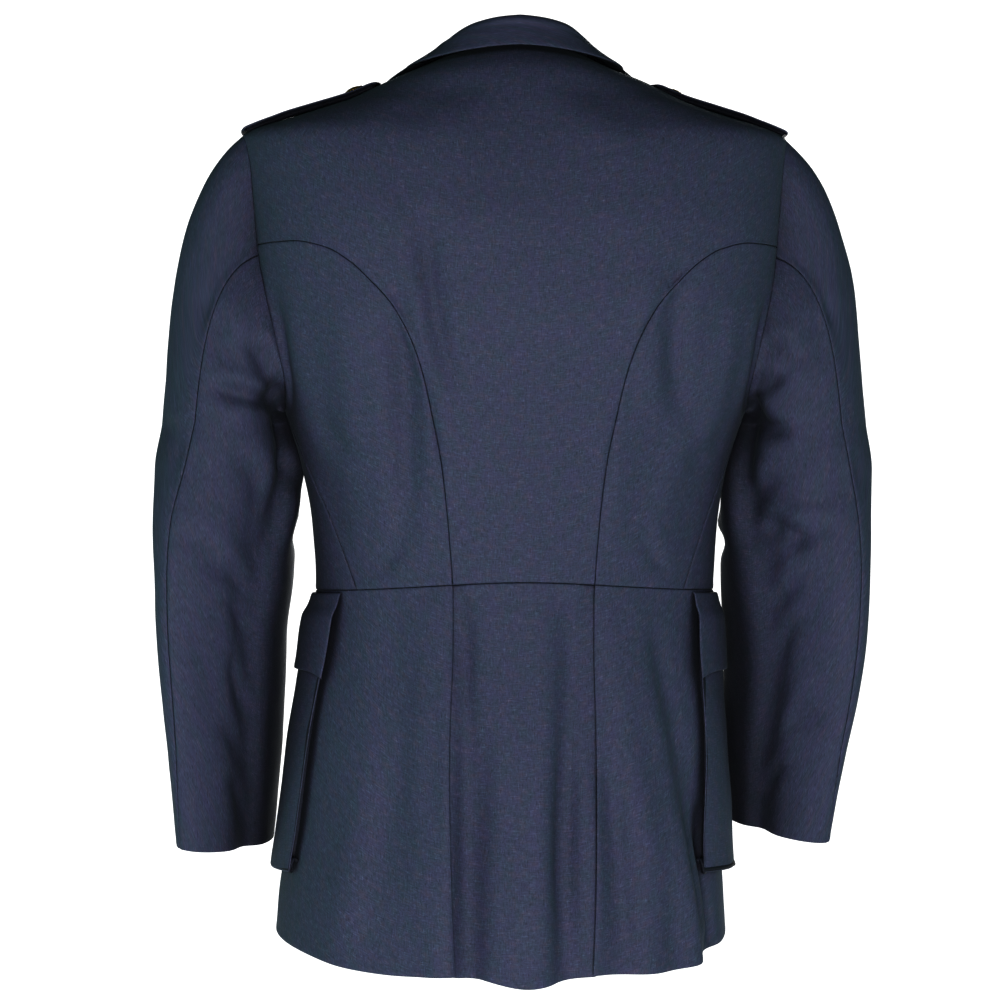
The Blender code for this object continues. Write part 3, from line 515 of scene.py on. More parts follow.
class ClothLengths:
    """Real lengths over the body surface, so that the weave has one size everywhere."""

    TURN_STEP, LAST_TURN = 1.5, 186
    LEVEL_STEP, LOWEST = 6.0, -768

    def __init__(self):
        turns = np.arange(-self.LAST_TURN, self.LAST_TURN + self.TURN_STEP, self.TURN_STEP)
        levels = np.arange(self.LOWEST, self.LEVEL_STEP, self.LEVEL_STEP)
        self.turns, self.levels = turns, levels
        points = body(turns[:, None], levels[None])
        round_step = np.linalg.norm(np.diff(points, axis=0), axis=-1)
        down_step = np.linalg.norm(np.diff(points, axis=1), axis=-1)
        self.round = np.pad(np.cumsum(round_step, axis=0), ((1, 0), (0, 0)))
        self.round -= self.round[np.argmin(np.abs(turns))]
        self.down = np.pad(np.cumsum(down_step, axis=1), ((0, 0), (1, 0)))
        self.down -= self.down[:, -1:]

    def read(self, table, turn, level):
        a = np.clip((turn - self.turns[0]) / self.TURN_STEP, 0, len(self.turns) - 1.001)
        b = np.clip((level - self.levels[0]) / self.LEVEL_STEP, 0, len(self.levels) - 1.001)
        i, j = a.astype(int), b.astype(int)
        a, b = a - i, b - j
        return (table[i, j] * (1 - a) * (1 - b) + table[i + 1, j] * a * (1 - b)
                + table[i, j + 1] * (1 - a) * b + table[i + 1, j + 1] * a * b)

    def flat(self, turn, level):
        """Distance round the body from the centre back, and down it from the neck."""
        turn, level = np.broadcast_arrays(np.asarray(turn, float), np.asarray(level, float))
        return paired(self.read(self.round, turn, level), self.read(self.down, turn, level))


LENGTHS = ClothLengths()


# ================================================================= lines on the body
def run(points):
    """Distance along a line of points from its first one."""
    return np.concatenate([[0], np.cumsum(np.linalg.norm(np.diff(points, axis=0), axis=1))])


def smooth_line(points, count=240):
    """A dense smooth curve through turn, level points."""
    points = np.array(points, float)
    along = run(body(points[:, 0], points[:, 1]))
    at = np.linspace(0, along[-1], count)
    return paired(steady(at, along, points[:, 0]), steady(at, along, points[:, 1]))


def cut_at(line, shares):
    """Points of a line at shares of its real length."""
    along = run(body(line[:, 0], line[:, 1]))
    at = np.asarray(shares) * along[-1]
    return paired(np.interp(at, along, line[:, 0]), np.interp(at, along, line[:, 1]))


def length_of(line):
    return run(body(line[:, 0], line[:, 1]))[-1]


def straight(start, end, steps=60):
    """Evenly spaced turn, level points between two places."""
    share = np.linspace(0, 1, steps + 1)[:, None]
    return np.array(start, float) * (1 - share) + np.array(end, float) * share


def laid_out(length, step, first=EDGE_STEPS, last=EDGE_STEPS):
    """Shares of a length for rows of points, laid close together near both ends."""
    start = np.array(first)
    end = length - np.array(last)[::-1]
    middle = np.linspace(start[-1], end[0], max(int((end[0] - start[-1]) / step), 2) + 1)[1:-1]
    return np.concatenate([start, middle, end]) / length


def middle_out(half_length, step):
    """Shares from -1 to 1, evenly spaced in the middle and close together near both ends."""
    half = laid_out(half_length, step, first=(0.0,))
    return np.concatenate([-half[::-1], half[1:]])


def hermite(t, start, leave, end, arrive):
    """A smooth curve from start to end, with the pulls that it leaves and arrives with."""
    return ((2 * t ** 3 - 3 * t ** 2 + 1) * start + (t ** 3 - 2 * t ** 2 + t) * leave
            + (3 * t ** 2 - 2 * t ** 3) * end + (t ** 3 - t ** 2) * arrive)


def armhole_lines():
    """The armhole on the wearer's left: upper back, lower back and front stretches."""
    back = smooth_line(ARMHOLE_BACK)
    passed = np.nonzero(back[:, 1] <= JUNCTION_LEVEL)[0][0]
    return back[:passed + 1], back[passed:], smooth_line(ARMHOLE_FRONT)


def armhole(columns):
    """Places on the armhole at sleeve columns, which need not be whole numbers."""
    upper, lower, ahead = armhole_lines()
    columns = np.asarray(columns, float)
    at_upper = cut_at(upper, np.clip(columns / JUNCTION, 0, 1))
    between = cut_at(lower, HIND_SHARE * np.clip(columns - JUNCTION, 0, 1))
    share = np.clip((columns - HIND) / (BOTTOM - HIND), 0, 1)
    at_lower = cut_at(lower, HIND_SHARE + (1 - HIND_SHARE) * share)
    at_front = cut_at(ahead, 1 - np.clip((columns - BOTTOM) / (COLUMNS - BOTTOM), 0, 1))
    columns = columns[:, None]
    return np.where(columns <= JUNCTION, at_upper,
                    np.where(columns <= HIND, between,
                             np.where(columns <= BOTTOM, at_lower, at_front)))


def princess():
    """The curved back seam from the armhole to the waist."""
    points = [place(across, height, True) for across, height in PRINCESS_ROWS]
    points[0] = tuple(armhole([JUNCTION])[0])
    points[-1] = (points[-1][0], WAIST)
    return smooth_line(points)


def side_seam():
    return straight(armhole([SIDE])[0], (SIDE_SEAM_AT_WAIST, WAIST))


def patch(top, bottom, left, right, across, down):
    """Turn, level grid inside four lines, at shares across and down it."""
    u = across[:, None, None]
    v = down[None, :, None]
    top = cut_at(top, across)[:, None]
    bottom = cut_at(bottom, across)[:, None]
    left = cut_at(left, down)[None]
    right = cut_at(right, down)[None]
    corners = ((1 - u) * (1 - v) * top[:1] + u * (1 - v) * top[-1:]
               + (1 - u) * v * bottom[:1] + u * v * bottom[-1:])
    return (1 - v) * top + v * bottom + (1 - u) * left + u * right - corners


def mirrored(line, side):
    """The same line on the left, side 1, or the right, side -1."""
    return line * np.array([side, 1.0])


def under_lap(grid, side):
    """How far the right front is tucked in where the left front covers it."""
    across = body(grid[..., 0], grid[..., 1])[..., 0]
    if side > 0:
        return np.zeros_like(across)
    return -UNDER_DEPTH * ease(across, -FRONT_LAP - UNDER_RAMP[0], -FRONT_LAP - UNDER_RAMP[1])


# ================================================================= creases and sewn edges
def edge_distances(points):
    """Distance of each grid point from the grid's four edges, in millimetres."""
    found = {}
    for axis, names in ((0, ("left", "right")), (1, ("top", "bottom"))):
        step = np.linalg.norm(np.diff(points, axis=axis), axis=-1)
        pad = [(0, 0), (0, 0)]
        pad[axis] = (1, 0)
        along = np.pad(np.cumsum(step, axis=axis), pad)
        found[names[0]] = along
        found[names[1]] = along.take([-1], axis=axis) - along
    return found


def flat_from_edges(points, shift=0.0):
    """Where each point lies on the cut cloth, by its distances along the grid."""
    away = edge_distances(points)
    return paired(away["left"] + shift, -away["top"])


def ripple(flat, seed):
    """The slight unevenness of worn cloth: waves at turns and phases that differ by piece."""
    total = np.zeros(flat.shape[:2])
    for number, (wave, height) in enumerate(RIPPLES):
        for twist in range(3):
            angle = 0.4 + seed * 1.9 + number * 1.3 + twist * 1.05
            phase = seed * 2.7 + number * 1.1 + twist * 4.3
            along = flat[..., 0] * math.cos(angle) + flat[..., 1] * math.sin(angle)
            aside = flat[..., 1] * math.cos(angle) - flat[..., 0] * math.sin(angle)
            bend = 1.2 * np.sin(2 * np.pi * aside / (wave * 2.3) + phase * 1.7)
            stretch = wave * (1 + 0.21 * twist)
            total += height / 3 * np.sin(2 * np.pi * along / stretch + phase + bend)
    return total


def crease_height(spot, creases, to_spot):
    """Soft troughs and ridges, each from one end to the other, with a bow and tapered ends."""
    total = np.zeros(spot.shape[:2])
    for row in creases:
        crease = dict(zip(CREASE_COLUMNS, row))
        start = to_spot(crease["turn_a"], crease["height_a"])
        end = to_spot(crease["turn_b"], crease["height_b"])
        length = np.linalg.norm(end - start)
        along = (end - start) / length
        share = (spot - start) @ along / length
        aside = (spot - start) @ np.array([-along[1], along[0]])
        inside = np.clip(share, 0, 1)
        aside = (aside - 4 * crease["bow"] * inside * (1 - inside)) / crease["width"]
        past = np.abs(share - inside) * length / crease["width"]
        taper = ease(share, *CREASE_RISE) * (1 - ease(share, *CREASE_FALL)) * np.exp(-past ** 2)
        swell = BESIDE * np.exp(-((aside - BESIDE_AT) / BESIDE_WIDTH) ** 2)
        total += crease["height"] * taper * (np.exp(-aside ** 2) - swell)
    return bpy.context.scene.tunic_sizes.crease_depth * total


def sewn(points, flat, edges, lift, seed, thick, axis_x=0.0):
    """Outer points of a sewn piece, the share of cloth thickness at each, and their normals.

    edges gives the style of the left, right, top and bottom edge.
    """
    round_piece = np.gradient(points, axis=0)
    down_piece = np.gradient(points, axis=1)
    normal = unit(np.cross(down_piece, round_piece))
    outward = (points - np.array([axis_x, 0, 0])) * np.array([1, 1, 0])
    if np.sum(normal * outward) < 0:
        normal = -normal
    away = edge_distances(points)
    nearest = np.minimum.reduce(list(away.values()))
    styles = dict(zip(EDGE_NAMES, edges))
    for edge, style in styles.items():
        if style == "seam":
            lift = lift * ease(away[edge], 0, SEAM_FADE)
    lift = lift + ripple(flat, seed) * ease(nearest, 0, RIPPLE_FADE)
    share = np.ones(points.shape[:2])
    for edge, style in styles.items():
        kind = dict(zip(EDGE_COLUMNS, EDGES[style]))
        distance = away[edge]
        along = flat[..., 1] if edge in ("left", "right") else flat[..., 0]
        inside = np.clip(1 - distance / kind["roll"], 0, 1)
        sink = kind["sink"] * (1 - np.sqrt(1 - inside ** 2))
        lift = lift - sink + kind["ridge"] * np.exp(-((distance - RIDGE_AT) / RIDGE_WIDTH) ** 2)
        if style == "seam":
            drift = 2 * np.sin(along / PUCKER_DRIFT + seed)
            pulled = np.sin(2 * np.pi * along / PUCKER_WAVE + drift)
            lift = lift + PUCKER * pulled * np.exp(-(distance / PUCKER_REACH) ** 2)
        if kind["free"]:
            share = np.minimum(share, np.maximum(1 - 2 * sink / thick, THIN_EDGE))
    return points + normal * lift[..., None], share, normal


# ================================================================= meshes
def cloth_mesh(name, outer, flat, share, thick, normal, bound):
    """A grid of cloth shaped to the outer points, with its thickness from Solidify.

    The last argument is how many rows of faces along both long edges, with the rim, take the dark
    inner cloth as painted shade.
    """
    across, down = outer.shape[0] - 1, outer.shape[1] - 1
    bpy.ops.object.select_all(action="DESELECT")
    bpy.ops.mesh.primitive_grid_add(x_subdivisions=across, y_subdivisions=down, size=2)
    piece = bpy.context.object
    piece.name = name
    mesh = piece.data
    mesh.name = name
    start = np.empty(len(mesh.vertices) * 3)
    mesh.vertices.foreach_get("co", start)
    start = start.reshape(-1, 3)
    i = np.rint((start[:, 0] + 1) / 2 * across).astype(int)
    j = np.rint((start[:, 1] + 1) / 2 * down).astype(int)
    mesh.vertices.foreach_set("co", (outer[i, j] * MM).ravel())
    mesh.update()
    middle = mesh.polygons[len(mesh.polygons) // 2 + across // 2]
    corner = middle.vertices[0]
    if middle.normal.dot(Vector(normal[i[corner], j[corner]])) < 0:
        mesh.flip_normals()
    layer = mesh.uv_layers[0] if mesh.uv_layers else mesh.uv_layers.new()
    layer.name = "cloth"
    corners = np.empty(len(mesh.loops), dtype=np.int32)
    mesh.loops.foreach_get("vertex_index", corners)
    layer.data.foreach_set("uv", (flat[i, j][corners] * MM).ravel())
    thin = piece.vertex_groups.new(name="thickness")
    weights = np.round(share[i, j], 2)
    for weight in np.unique(weights):
        thin.add(np.nonzero(weights == weight)[0].tolist(), float(weight), "REPLACE")
    shell = piece.modifiers.new("cloth", "SOLIDIFY")
    shell.thickness = thick * MM
    shell.offset = -1
    shell.vertex_group = "thickness"
    shell.material_offset = 1
    # Painted shade: when edge rows are given, the rim and those rows take the dark inner cloth.
    shell.material_offset_rim = 1 if bound else 0
    shell.use_rim = True
    for face in mesh.polygons if bound else ():
        column = np.mean(i[list(face.vertices)])
        if column < bound or column > across - bound:
            face.material_index = 1
    return piece


def finished(piece, outer_material, inner_material, node):
    """Applies the piece's modifiers, smooths it, parents it to the root body and hides its solid.
    """
    piece.data.materials.clear()
    for material in (outer_material, inner_material, inner_material):
        piece.data.materials.append(material)
    bpy.ops.object.select_all(action="DESELECT")
    piece.select_set(True)
    bpy.context.view_layer.objects.active = piece
    for modifier in list(piece.modifiers):
        bpy.ops.object.modifier_apply(modifier=modifier.name)
    piece.vertex_groups.clear()
    bpy.ops.object.shade_smooth()
    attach(piece, "root")
    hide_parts(node)


def cloth_piece(node, points, flat, edges, lift, seed, held, rests_on, inner=None, thick=None,
                axis_x=0.0, bound=0):
    """One sewn piece of the tunic, which stands for its solid."""
    thick = thick or bpy.context.scene.tunic_sizes.cloth / MM
    outer, share, normal = sewn(points, flat, edges, lift, seed, thick, axis_x)
    piece = cloth_mesh("cloth_" + node, outer, flat, share, thick, normal, bound)
    wool = worsted_wool()
    finished(piece, wool, inner or wool, node)


# ================================================================= materials
# A colour Mix node has its factor at input 0, its colours at 6 and 7, and its result at output 2.
RANGE = ("From Min", "From Max", "To Min", "To Max")
# Slubs, flecks and clouds: length and width in millimetres, drawn coarser than real ones so that
# they show, whether they run down the cloth, their detail, and the range the noise is brought to.
STRAND_COLUMNS = ("along", "across", "turned", "detail", "low", "high", "to_low", "to_high")
SLATE_CLOUDS = (17.0, 11.0, True, 3.0, 0.32, 0.68, 0.0, 0.75)
PLUM_CLOUDS = (8.0, 6.0, False, 3.0, 0.50, 0.78, 0.0, 0.6)
WOOL_FLECKS = (
    (9.0, 1.2, False, 2.0, 0.25, 0.75, 0.90, 1.12),
    (8.0, 1.2, True, 2.0, 0.25, 0.75, 0.90, 1.12),
    (6.5, 0.9, False, 1.0, 0.60, 0.74, 1.0, 1.38),
    (6.0, 0.9, True, 1.0, 0.61, 0.75, 1.0, 1.34),
    (5.0, 1.0, True, 1.0, 0.26, 0.38, 0.72, 1.0),
    (1.6, 1.4, False, 1.0, 0.30, 0.70, 0.90, 1.10),
)
SATIN_WARP = (30.0, 0.9, True, 2.0, 0.3, 0.7, 0.0, 1.0)
# How far the ambient occlusion looks for the shade painted into the wool's colour in hollows.
HOLLOW_REACH = 0.11    # metres to whatever closes a hollow in
WOOL_RELIEF, SATIN_RELIEF = (0.55, 0.00022), (0.3, 0.0001)     # strength, and height in metres
THREADS_IN_RELIEF = 0.15       # the woven threads' part of it, beside the flecks'
# How the occlusion is brought to a darkening of the wool's colour: painted shade.
HOLLOW_SHADE = (0.28, 0.78, 0.12, 1.0)
# Size in millimetres, detail and range. The rubbed marks are drawn coarser than real ones.
BRASS_CLOUDS = (6.25, 2.0, (0.45, 0.75, 0.0, 0.7))
BRASS_RUBS = (1.111, 4.0, (0.3, 0.7, 0.24, 0.42))


def linear(code):
    """An sRGB hex colour as linear red, green and blue."""
    parts = [int(code[i:i + 2], 16) / 255 for i in (1, 3, 5)]
    return [part / 12.92 if part <= 0.04045 else ((part + 0.055) / 1.055) ** 2.4 for part in parts]


def set_values(node, values):
    for name, value in values.items():
        node.inputs[name].default_value = value


def node_in(tree, kind, settings=None, values=None, links=None):
    """Adds a node with its settings, its input values and its links from other outputs."""
    made = tree.nodes.new(kind)
    for name, value in (settings or {}).items():
        setattr(made, name, value)
    set_values(made, values or {})
    for name, output in (links or {}).items():
        tree.links.new(output, made.inputs[name])
    return made


def new_material(name, values):
    """A material whose shader has these values, with its node tree and its shader."""
    made = bpy.data.materials.new(name)
    made.use_nodes = True
    shader = made.node_tree.nodes["Principled BSDF"]
    set_values(shader, values)
    return made, made.node_tree, shader


def strands(tree, flat, row):
    """Noise drawn out along a thread, first as it is and then brought to the row's range."""
    strand = dict(zip(STRAND_COLUMNS, row))
    names = ("across", "along") if strand["turned"] else ("along", "across")
    scale = (*(1 / (strand[name] * MM) for name in names), 1.0)
    stretched = node_in(tree, "ShaderNodeMapping", values={"Scale": scale}, links={"Vector": flat})
    noise = node_in(tree, "ShaderNodeTexNoise", {"noise_dimensions": "2D"},
                    {"Scale": 1.0, "Detail": strand["detail"], "Roughness": 0.6},
                    {"Vector": stretched.outputs["Vector"]}).outputs["Fac"]
    brought = node_in(tree, "ShaderNodeMapRange", {"clamp": True}, dict(zip(RANGE, row[4:])),
                      {"Value": noise})
    return noise, brought.outputs["Result"]


def worsted_wool():
    """Worsted wool blend, plain weave, piece-dyed navy from mixed yarn.

    The mixed yarn gives short lighter and darker flecks both ways, and the worn nap a faint sheen.
    Its colour is darkened in narrow hollows by an ambient occlusion node: painted shade.
    """
    name = "worsted wool, navy plain weave"
    if name in bpy.data.materials:
        return bpy.data.materials[name]
    colours = bpy.context.scene.tunic_colours
    sizes = bpy.context.scene.tunic_sizes
    made, tree, shader = new_material(name, {
        "Roughness": 0.74, "Specular IOR Level": 0.2, "Sheen Weight": 0.06,
        "Sheen Roughness": 0.45, "Sheen Tint": (*linear("#8fa3ad"), 1)})
    flat = node_in(tree, "ShaderNodeUVMap", {"uv_map": "cloth"}).outputs["UV"]

    tint = node_in(tree, "ShaderNodeMix", {"data_type": "RGBA"},
                   {6: (*colours.wool_blue, 1), 7: (*colours.wool_slate, 1)},
                   {0: strands(tree, flat, SLATE_CLOUDS)[1]}).outputs[2]
    tint = node_in(tree, "ShaderNodeMix", {"data_type": "RGBA"}, {7: (*colours.wool_plum, 1)},
                   {0: strands(tree, flat, PLUM_CLOUDS)[1], 6: tint}).outputs[2]
    mixed = strands(tree, flat, WOOL_FLECKS[0])[1]
    for row in WOOL_FLECKS[1:]:
        mixed = node_in(tree, "ShaderNodeMath", {"operation": "MULTIPLY"},
                        links={0: mixed, 1: strands(tree, flat, row)[1]}).outputs[0]
    # Painted shade: ambient occlusion darkens the base colour where other cloth closes a hollow
    # in.
    occlusion_for_painted_shade = node_in(tree, "ShaderNodeAmbientOcclusion", {"samples": 4},
                       {"Distance": HOLLOW_REACH}).outputs["AO"]
    hollow = node_in(tree, "ShaderNodeMapRange", {"clamp": True}, dict(zip(RANGE, HOLLOW_SHADE)),
                     {"Value": occlusion_for_painted_shade}).outputs["Result"]
    for share in (mixed, hollow):
        tint = node_in(tree, "ShaderNodeVectorMath", {"operation": "SCALE"},
                       links={0: tint, "Scale": share}).outputs[0]
    tree.links.new(tint, shader.inputs["Base Color"])

    turns = 2 * math.pi / sizes.thread_pitch
    around = node_in(tree, "ShaderNodeVectorMath", {"operation": "SCALE"}, {"Scale": turns},
                     {0: flat}).outputs[0]
    split = node_in(tree, "ShaderNodeSeparateXYZ", links={0: around})
    threads = [node_in(tree, "ShaderNodeMath", {"operation": "SINE"},
                       links={0: split.outputs[axis]}).outputs[0] for axis in ("X", "Y")]
    weave = node_in(tree, "ShaderNodeMath", {"operation": "MULTIPLY"},
                    links={0: threads[0], 1: threads[1]}).outputs[0]
    relief = node_in(tree, "ShaderNodeMath", {"operation": "MULTIPLY_ADD"},
                     {1: THREADS_IN_RELIEF}, {0: weave, 2: mixed}).outputs[0]
    bump = node_in(tree, "ShaderNodeBump", values=dict(zip(("Strength", "Distance"), WOOL_RELIEF)),
                   links={"Height": relief})
    tree.links.new(bump.outputs["Normal"], shader.inputs["Normal"])
    return made


def satin_lining_and_painted_shade():
    """Viscose satin, warp-faced and piece-dyed near black: smoother and a little glossier."""
    # Besides lining the body pieces, this near-black satin is put on the straps' edges and the
    # pockets' gussets as painted shade.
    name = "viscose satin lining"
    if name in bpy.data.materials:
        return bpy.data.materials[name]
    made, tree, shader = new_material(name, {"Roughness": 0.65, "Specular IOR Level": 0.12})
    flat = node_in(tree, "ShaderNodeUVMap", {"uv_map": "cloth"}).outputs["UV"]
    warp, share = strands(tree, flat, SATIN_WARP)
    dark, light = (*linear("#101218"), 1), (*linear("#191d26"), 1)
    colour = node_in(tree, "ShaderNodeMix", {"data_type": "RGBA"}, {6: dark, 7: light},
                     {0: share}).outputs[2]
    tree.links.new(colour, shader.inputs["Base Color"])
    bump = node_in(tree, "ShaderNodeBump",
                   values=dict(zip(("Strength", "Distance"), SATIN_RELIEF)),
                   links={"Height": warp})
    tree.links.new(bump.outputs["Normal"], shader.inputs["Normal"])
    return made


def silk_twist():
    """Silk buttonhole twist, dyed navy: a little brighter and smoother than the wool round it."""
    name = "silk twist, navy"
    if name in bpy.data.materials:
        return bpy.data.materials[name]
    return new_material(name, {"Base Color": (*linear("#232a3a"), 1), "Roughness": 0.45})[0]


def gilt_brass():
    """Stamped brass with a thin gilt wash, softly polished: warm, with fine rubbed marks."""
    name = "stamped gilt brass"
    if name in bpy.data.materials:
        return bpy.data.materials[name]
    made, tree, shader = new_material(name, {"Metallic": 1.0})
    place_on = node_in(tree, "ShaderNodeTexCoord").outputs["Object"]
    clouded, rubbed = [
        node_in(tree, "ShaderNodeMapRange", {"clamp": True}, dict(zip(RANGE, reach)),
                {"Value": node_in(tree, "ShaderNodeTexNoise",
                                  values={"Scale": 1 / (size * MM), "Detail": detail},
                                  links={"Vector": place_on}).outputs["Fac"]}).outputs["Result"]
        for size, detail, reach in (BRASS_CLOUDS, BRASS_RUBS)]
    light, dark = (*bpy.context.scene.tunic_colours.brass, 1), (*linear("#7d5f2a"), 1)
    colour = node_in(tree, "ShaderNodeMix", {"data_type": "RGBA"}, {6: light, 7: dark},
                     {0: clouded}).outputs[2]
    tree.links.new(colour, shader.inputs["Base Color"])
    tree.links.new(rubbed, shader.inputs["Roughness"])
    return made


# ================================================================= upper body
def evened(points, share, rounds=30):
    """The grid with its shape evened out down the cloth, by a share at each point."""
    even = points
    for _ in range(rounds):
        padded = np.concatenate([even[:, :1], even, even[:, -1:]], axis=1)
        even = 0.25 * padded[:, :-2] + 0.5 * even + 0.25 * padded[:, 2:]
    return points + (even - points) * share[..., None]


def body_piece(node, grid, lift, edges, seed, creases=(), even_at=None, **words):
    """A piece laid on the body surface: grid holds turn and level."""
    turn, level = grid[..., 0], grid[..., 1]
    normal = body_normal(turn, level)
    points = body(turn, level) + normal * np.broadcast_to(lift, turn.shape)[..., None]
    if even_at is not None:
        away = edge_distances(points)
        aside = np.minimum(away["left"], away["right"])
        near = np.exp(-((level - even_at) / EVEN_DOWN) ** 2) * ease(aside, 0, EVEN_ASIDE)
        points = evened(points, near)
    flat = LENGTHS.flat(turn, level)

    def to_spot(crease_turn, height):
        return np.array([LENGTHS.flat(crease_turn, height)[0], height])

    creased = crease_height(paired(flat[..., 0], points[..., 2]), creases, to_spot)
    cloth_piece(node, points, flat, edges, creased, seed, **words)


def grid_step():
    return bpy.context.scene.tunic_sizes.grid_step / MM


def back_centre():
    shoulder = straight((90, 0), (90, SHOULDER_POINT))
    upper = armhole_lines()[0]
    edge_line = np.concatenate([shoulder, upper[1:], princess()[1:]])
    down = laid_out(length_of(edge_line), grid_step())
    edge = cut_at(edge_line, down)
    corner = (length_of(shoulder) + length_of(upper)) / length_of(edge_line)
    centre_level = steady(down, np.array([0, corner, 1]), np.array([0, BACK_ROW_AT_CORNER, WAIST]))
    share = middle_out(HALF_BACK, grid_step())[:, None]
    level = centre_level[None] + (edge[None, :, 1] - centre_level[None]) * share ** 4
    body_piece("back_centre", paired(share * edge[None, :, 0], level), 0.0, ("seam",) * 4, 1,
               BACK_CREASES, even_at=SHOULDER_POINT, held="hung",
               rests_on=["collar", "side_back_left", "side_back_right"], inner=satin_lining_and_painted_shade())


def side_back(side, end):
    inner_edge = princess()
    top = armhole(np.linspace(JUNCTION, SIDE, 80))
    bottom = straight(inner_edge[-1], (SIDE_SEAM_AT_WAIST, WAIST))
    across = laid_out(0.5 * (length_of(top) + length_of(bottom)), grid_step())
    down = laid_out(length_of(inner_edge), grid_step())
    grid = mirrored(patch(top, bottom, inner_edge, side_seam(), across, down), side)
    body_piece("side_back_" + end, grid, 0.0, ("seam",) * 4, 2 + side, BACK_CREASES, held="hung",
               rests_on=["back_centre"], inner=satin_lining_and_painted_shade())


def roll_line(steps=60):
    """From the neck down to the end of the lapel, on the left front."""
    neck = body(NECK_FRONT, 0)
    heights = np.linspace(neck[2], ROLL_END[1], steps + 1)
    across = np.linspace(neck[0], ROLL_END[0], steps + 1)
    points = [place(x, z, False) for x, z in zip(across, heights)]
    points[0] = (NECK_FRONT, 0.0)
    return np.array(points)


def front_edge(steps, top, bottom):
    """The straight front edge, past the middle plane, between two levels."""
    levels = np.linspace(top, bottom, steps + 1)
    return np.array([(place(-FRONT_LAP, level, False)[0], level) for level in levels])


def front(side, end):
    shoulder = straight((90, 0), (90, SHOULDER_POINT))
    arm = armhole(np.linspace(COLUMNS, SIDE, 120))
    outer_edge = np.concatenate([shoulder, arm[1:], side_seam()[1:]])
    roll = roll_line()
    inner_edge = np.concatenate([roll, front_edge(20, roll[-1, 1], WAIST)[1:]])
    top = straight(outer_edge[0], inner_edge[0])
    bottom = straight(outer_edge[-1], inner_edge[-1])
    across = laid_out(0.6 * length_of(bottom) + 0.4 * length_of(top), grid_step())
    down = laid_out(length_of(inner_edge), grid_step())
    grid = mirrored(patch(top, bottom, outer_edge, inner_edge, across, down), side)
    body_piece("front_" + end, grid, under_lap(grid, side), ("seam", "fold", "seam", "seam"),
               5 + side, FRONT_CREASES, held="hung",
               rests_on=["back_centre", "side_back_" + end], inner=satin_lining_and_painted_shade())


def notch_dip(share):
    """How far the collar's end line bows towards the notch, part way along it."""
    notch_turn, notch_level = place(*NOTCH, False)
    straight_turn = NECK_FRONT + NOTCH_SHARE * (LEAF_END[0] - NECK_FRONT)
    straight_level = NOTCH_SHARE * LEAF_END[1]
    bow = share * (1 - share) / (NOTCH_SHARE * (1 - NOTCH_SHARE))
    return (notch_turn - straight_turn) * bow, (notch_level - straight_level) * bow


def gorge_line():
    """Where the collar's end meets the lapel's top edge, from the neck to the notch."""
    points = []
    for share in np.linspace(0, NOTCH_SHARE, 4):
        dip_turn, dip_level = notch_dip(share)
        points.append((NECK_FRONT + (LEAF_END[0] - NECK_FRONT) * share + dip_turn,
                       LEAF_END[1] * share + dip_level))
    return points


def lapel(side, end):
    roll = roll_line()[:-1]
    gorge = gorge_line() + [place(*LAPEL_TIP, False)]
    outside = [place(across, height, False) for across, height in LAPEL_EDGE]
    top = smooth_line(gorge)
    right = smooth_line([gorge[-1]] + outside)
    bottom = straight(roll[-1], right[-1])
    across = laid_out(length_of(top), FINE_STEP)
    down = laid_out(length_of(roll), FINE_STEP)
    grid = mirrored(patch(top, bottom, roll, right, across, down), side)
    body_piece("lapel_" + end, grid, under_lap(grid, side) + CLOTH + LAPEL_CLEAR, ("fold",) * 4,
               8 + side, held="folded", rests_on=["front_" + end])


# ================================================================= skirt
def skirt_grid(turn_top, turn_hem, hem):
    """Turn, level grid from the waist seam to a hem, given as its level and its rises."""
    share = laid_out(SKIRT_DROP, grid_step())[None]
    level, rises = hem
    for rise, start, end in rises:
        level = level + rise * ease(np.abs(turn_hem), start, end)
    turn = turn_top[:, None] + (turn_hem - turn_top)[:, None] * share
    return paired(turn, WAIST + (level[:, None] - WAIST) * share)


def skirt_seam(side):
    """Turn of the lapped skirt seam at the waist and at the hem."""
    return princess()[-1, 0], place(SKIRT_SEAM_AT_HEM[side], SKIRT_SEAM_LEVEL, True)[0]


def skirt_back():
    top_turn, left_hem = skirt_seam(1)
    right_hem = skirt_seam(-1)[1]
    share = middle_out(HALF_SKIRT_BACK, grid_step())
    hem_turn = np.where(share > 0, left_hem, right_hem)
    grid = skirt_grid(share * (top_turn + UNDERLAP_AT_WAIST), share * (hem_turn + UNDERLAP_AT_HEM),
                      HEM_BACK)
    down = (WAIST - grid[..., 1]) / (WAIST - SKIRT_SEAM_LEVEL)
    seam = top_turn + (hem_turn[:, None] - top_turn) * down
    lift = -(CLOTH + LAID) * ease(np.abs(grid[..., 0]), seam - UNDERLAP_RAMP[0],
                                  seam - UNDERLAP_RAMP[1])
    body_piece("skirt_back", grid, lift, ("under", "under", "seam", "fold"), 11, SKIRT_CREASES,
               held="hung", rests_on=["back_centre"], inner=satin_lining_and_painted_shade())


def skirt_side(side, end):
    top_turn, hem_turn = skirt_seam(side)
    front_top = place(-FRONT_LAP, WAIST, False)[0]
    front_hem = place(-FRONT_LAP, FRONT_HEM_LEVEL, False)[0]
    share = laid_out(SKIRT_GIRTH, grid_step())
    grid = mirrored(skirt_grid(top_turn + (front_top - top_turn) * share,
                               hem_turn + (front_hem - hem_turn) * share, HEM_SIDE), side)
    lift = np.where(np.abs(grid[..., 0]) > IN_FRONT, under_lap(grid, side), 0.0)
    body_piece("skirt_" + end, grid, lift, ("fold", "fold", "seam", "fold"), 12 + side,
               SKIRT_CREASES, held="hung", rests_on=["front_" + end, "side_back_" + end],
               inner=satin_lining_and_painted_shade())


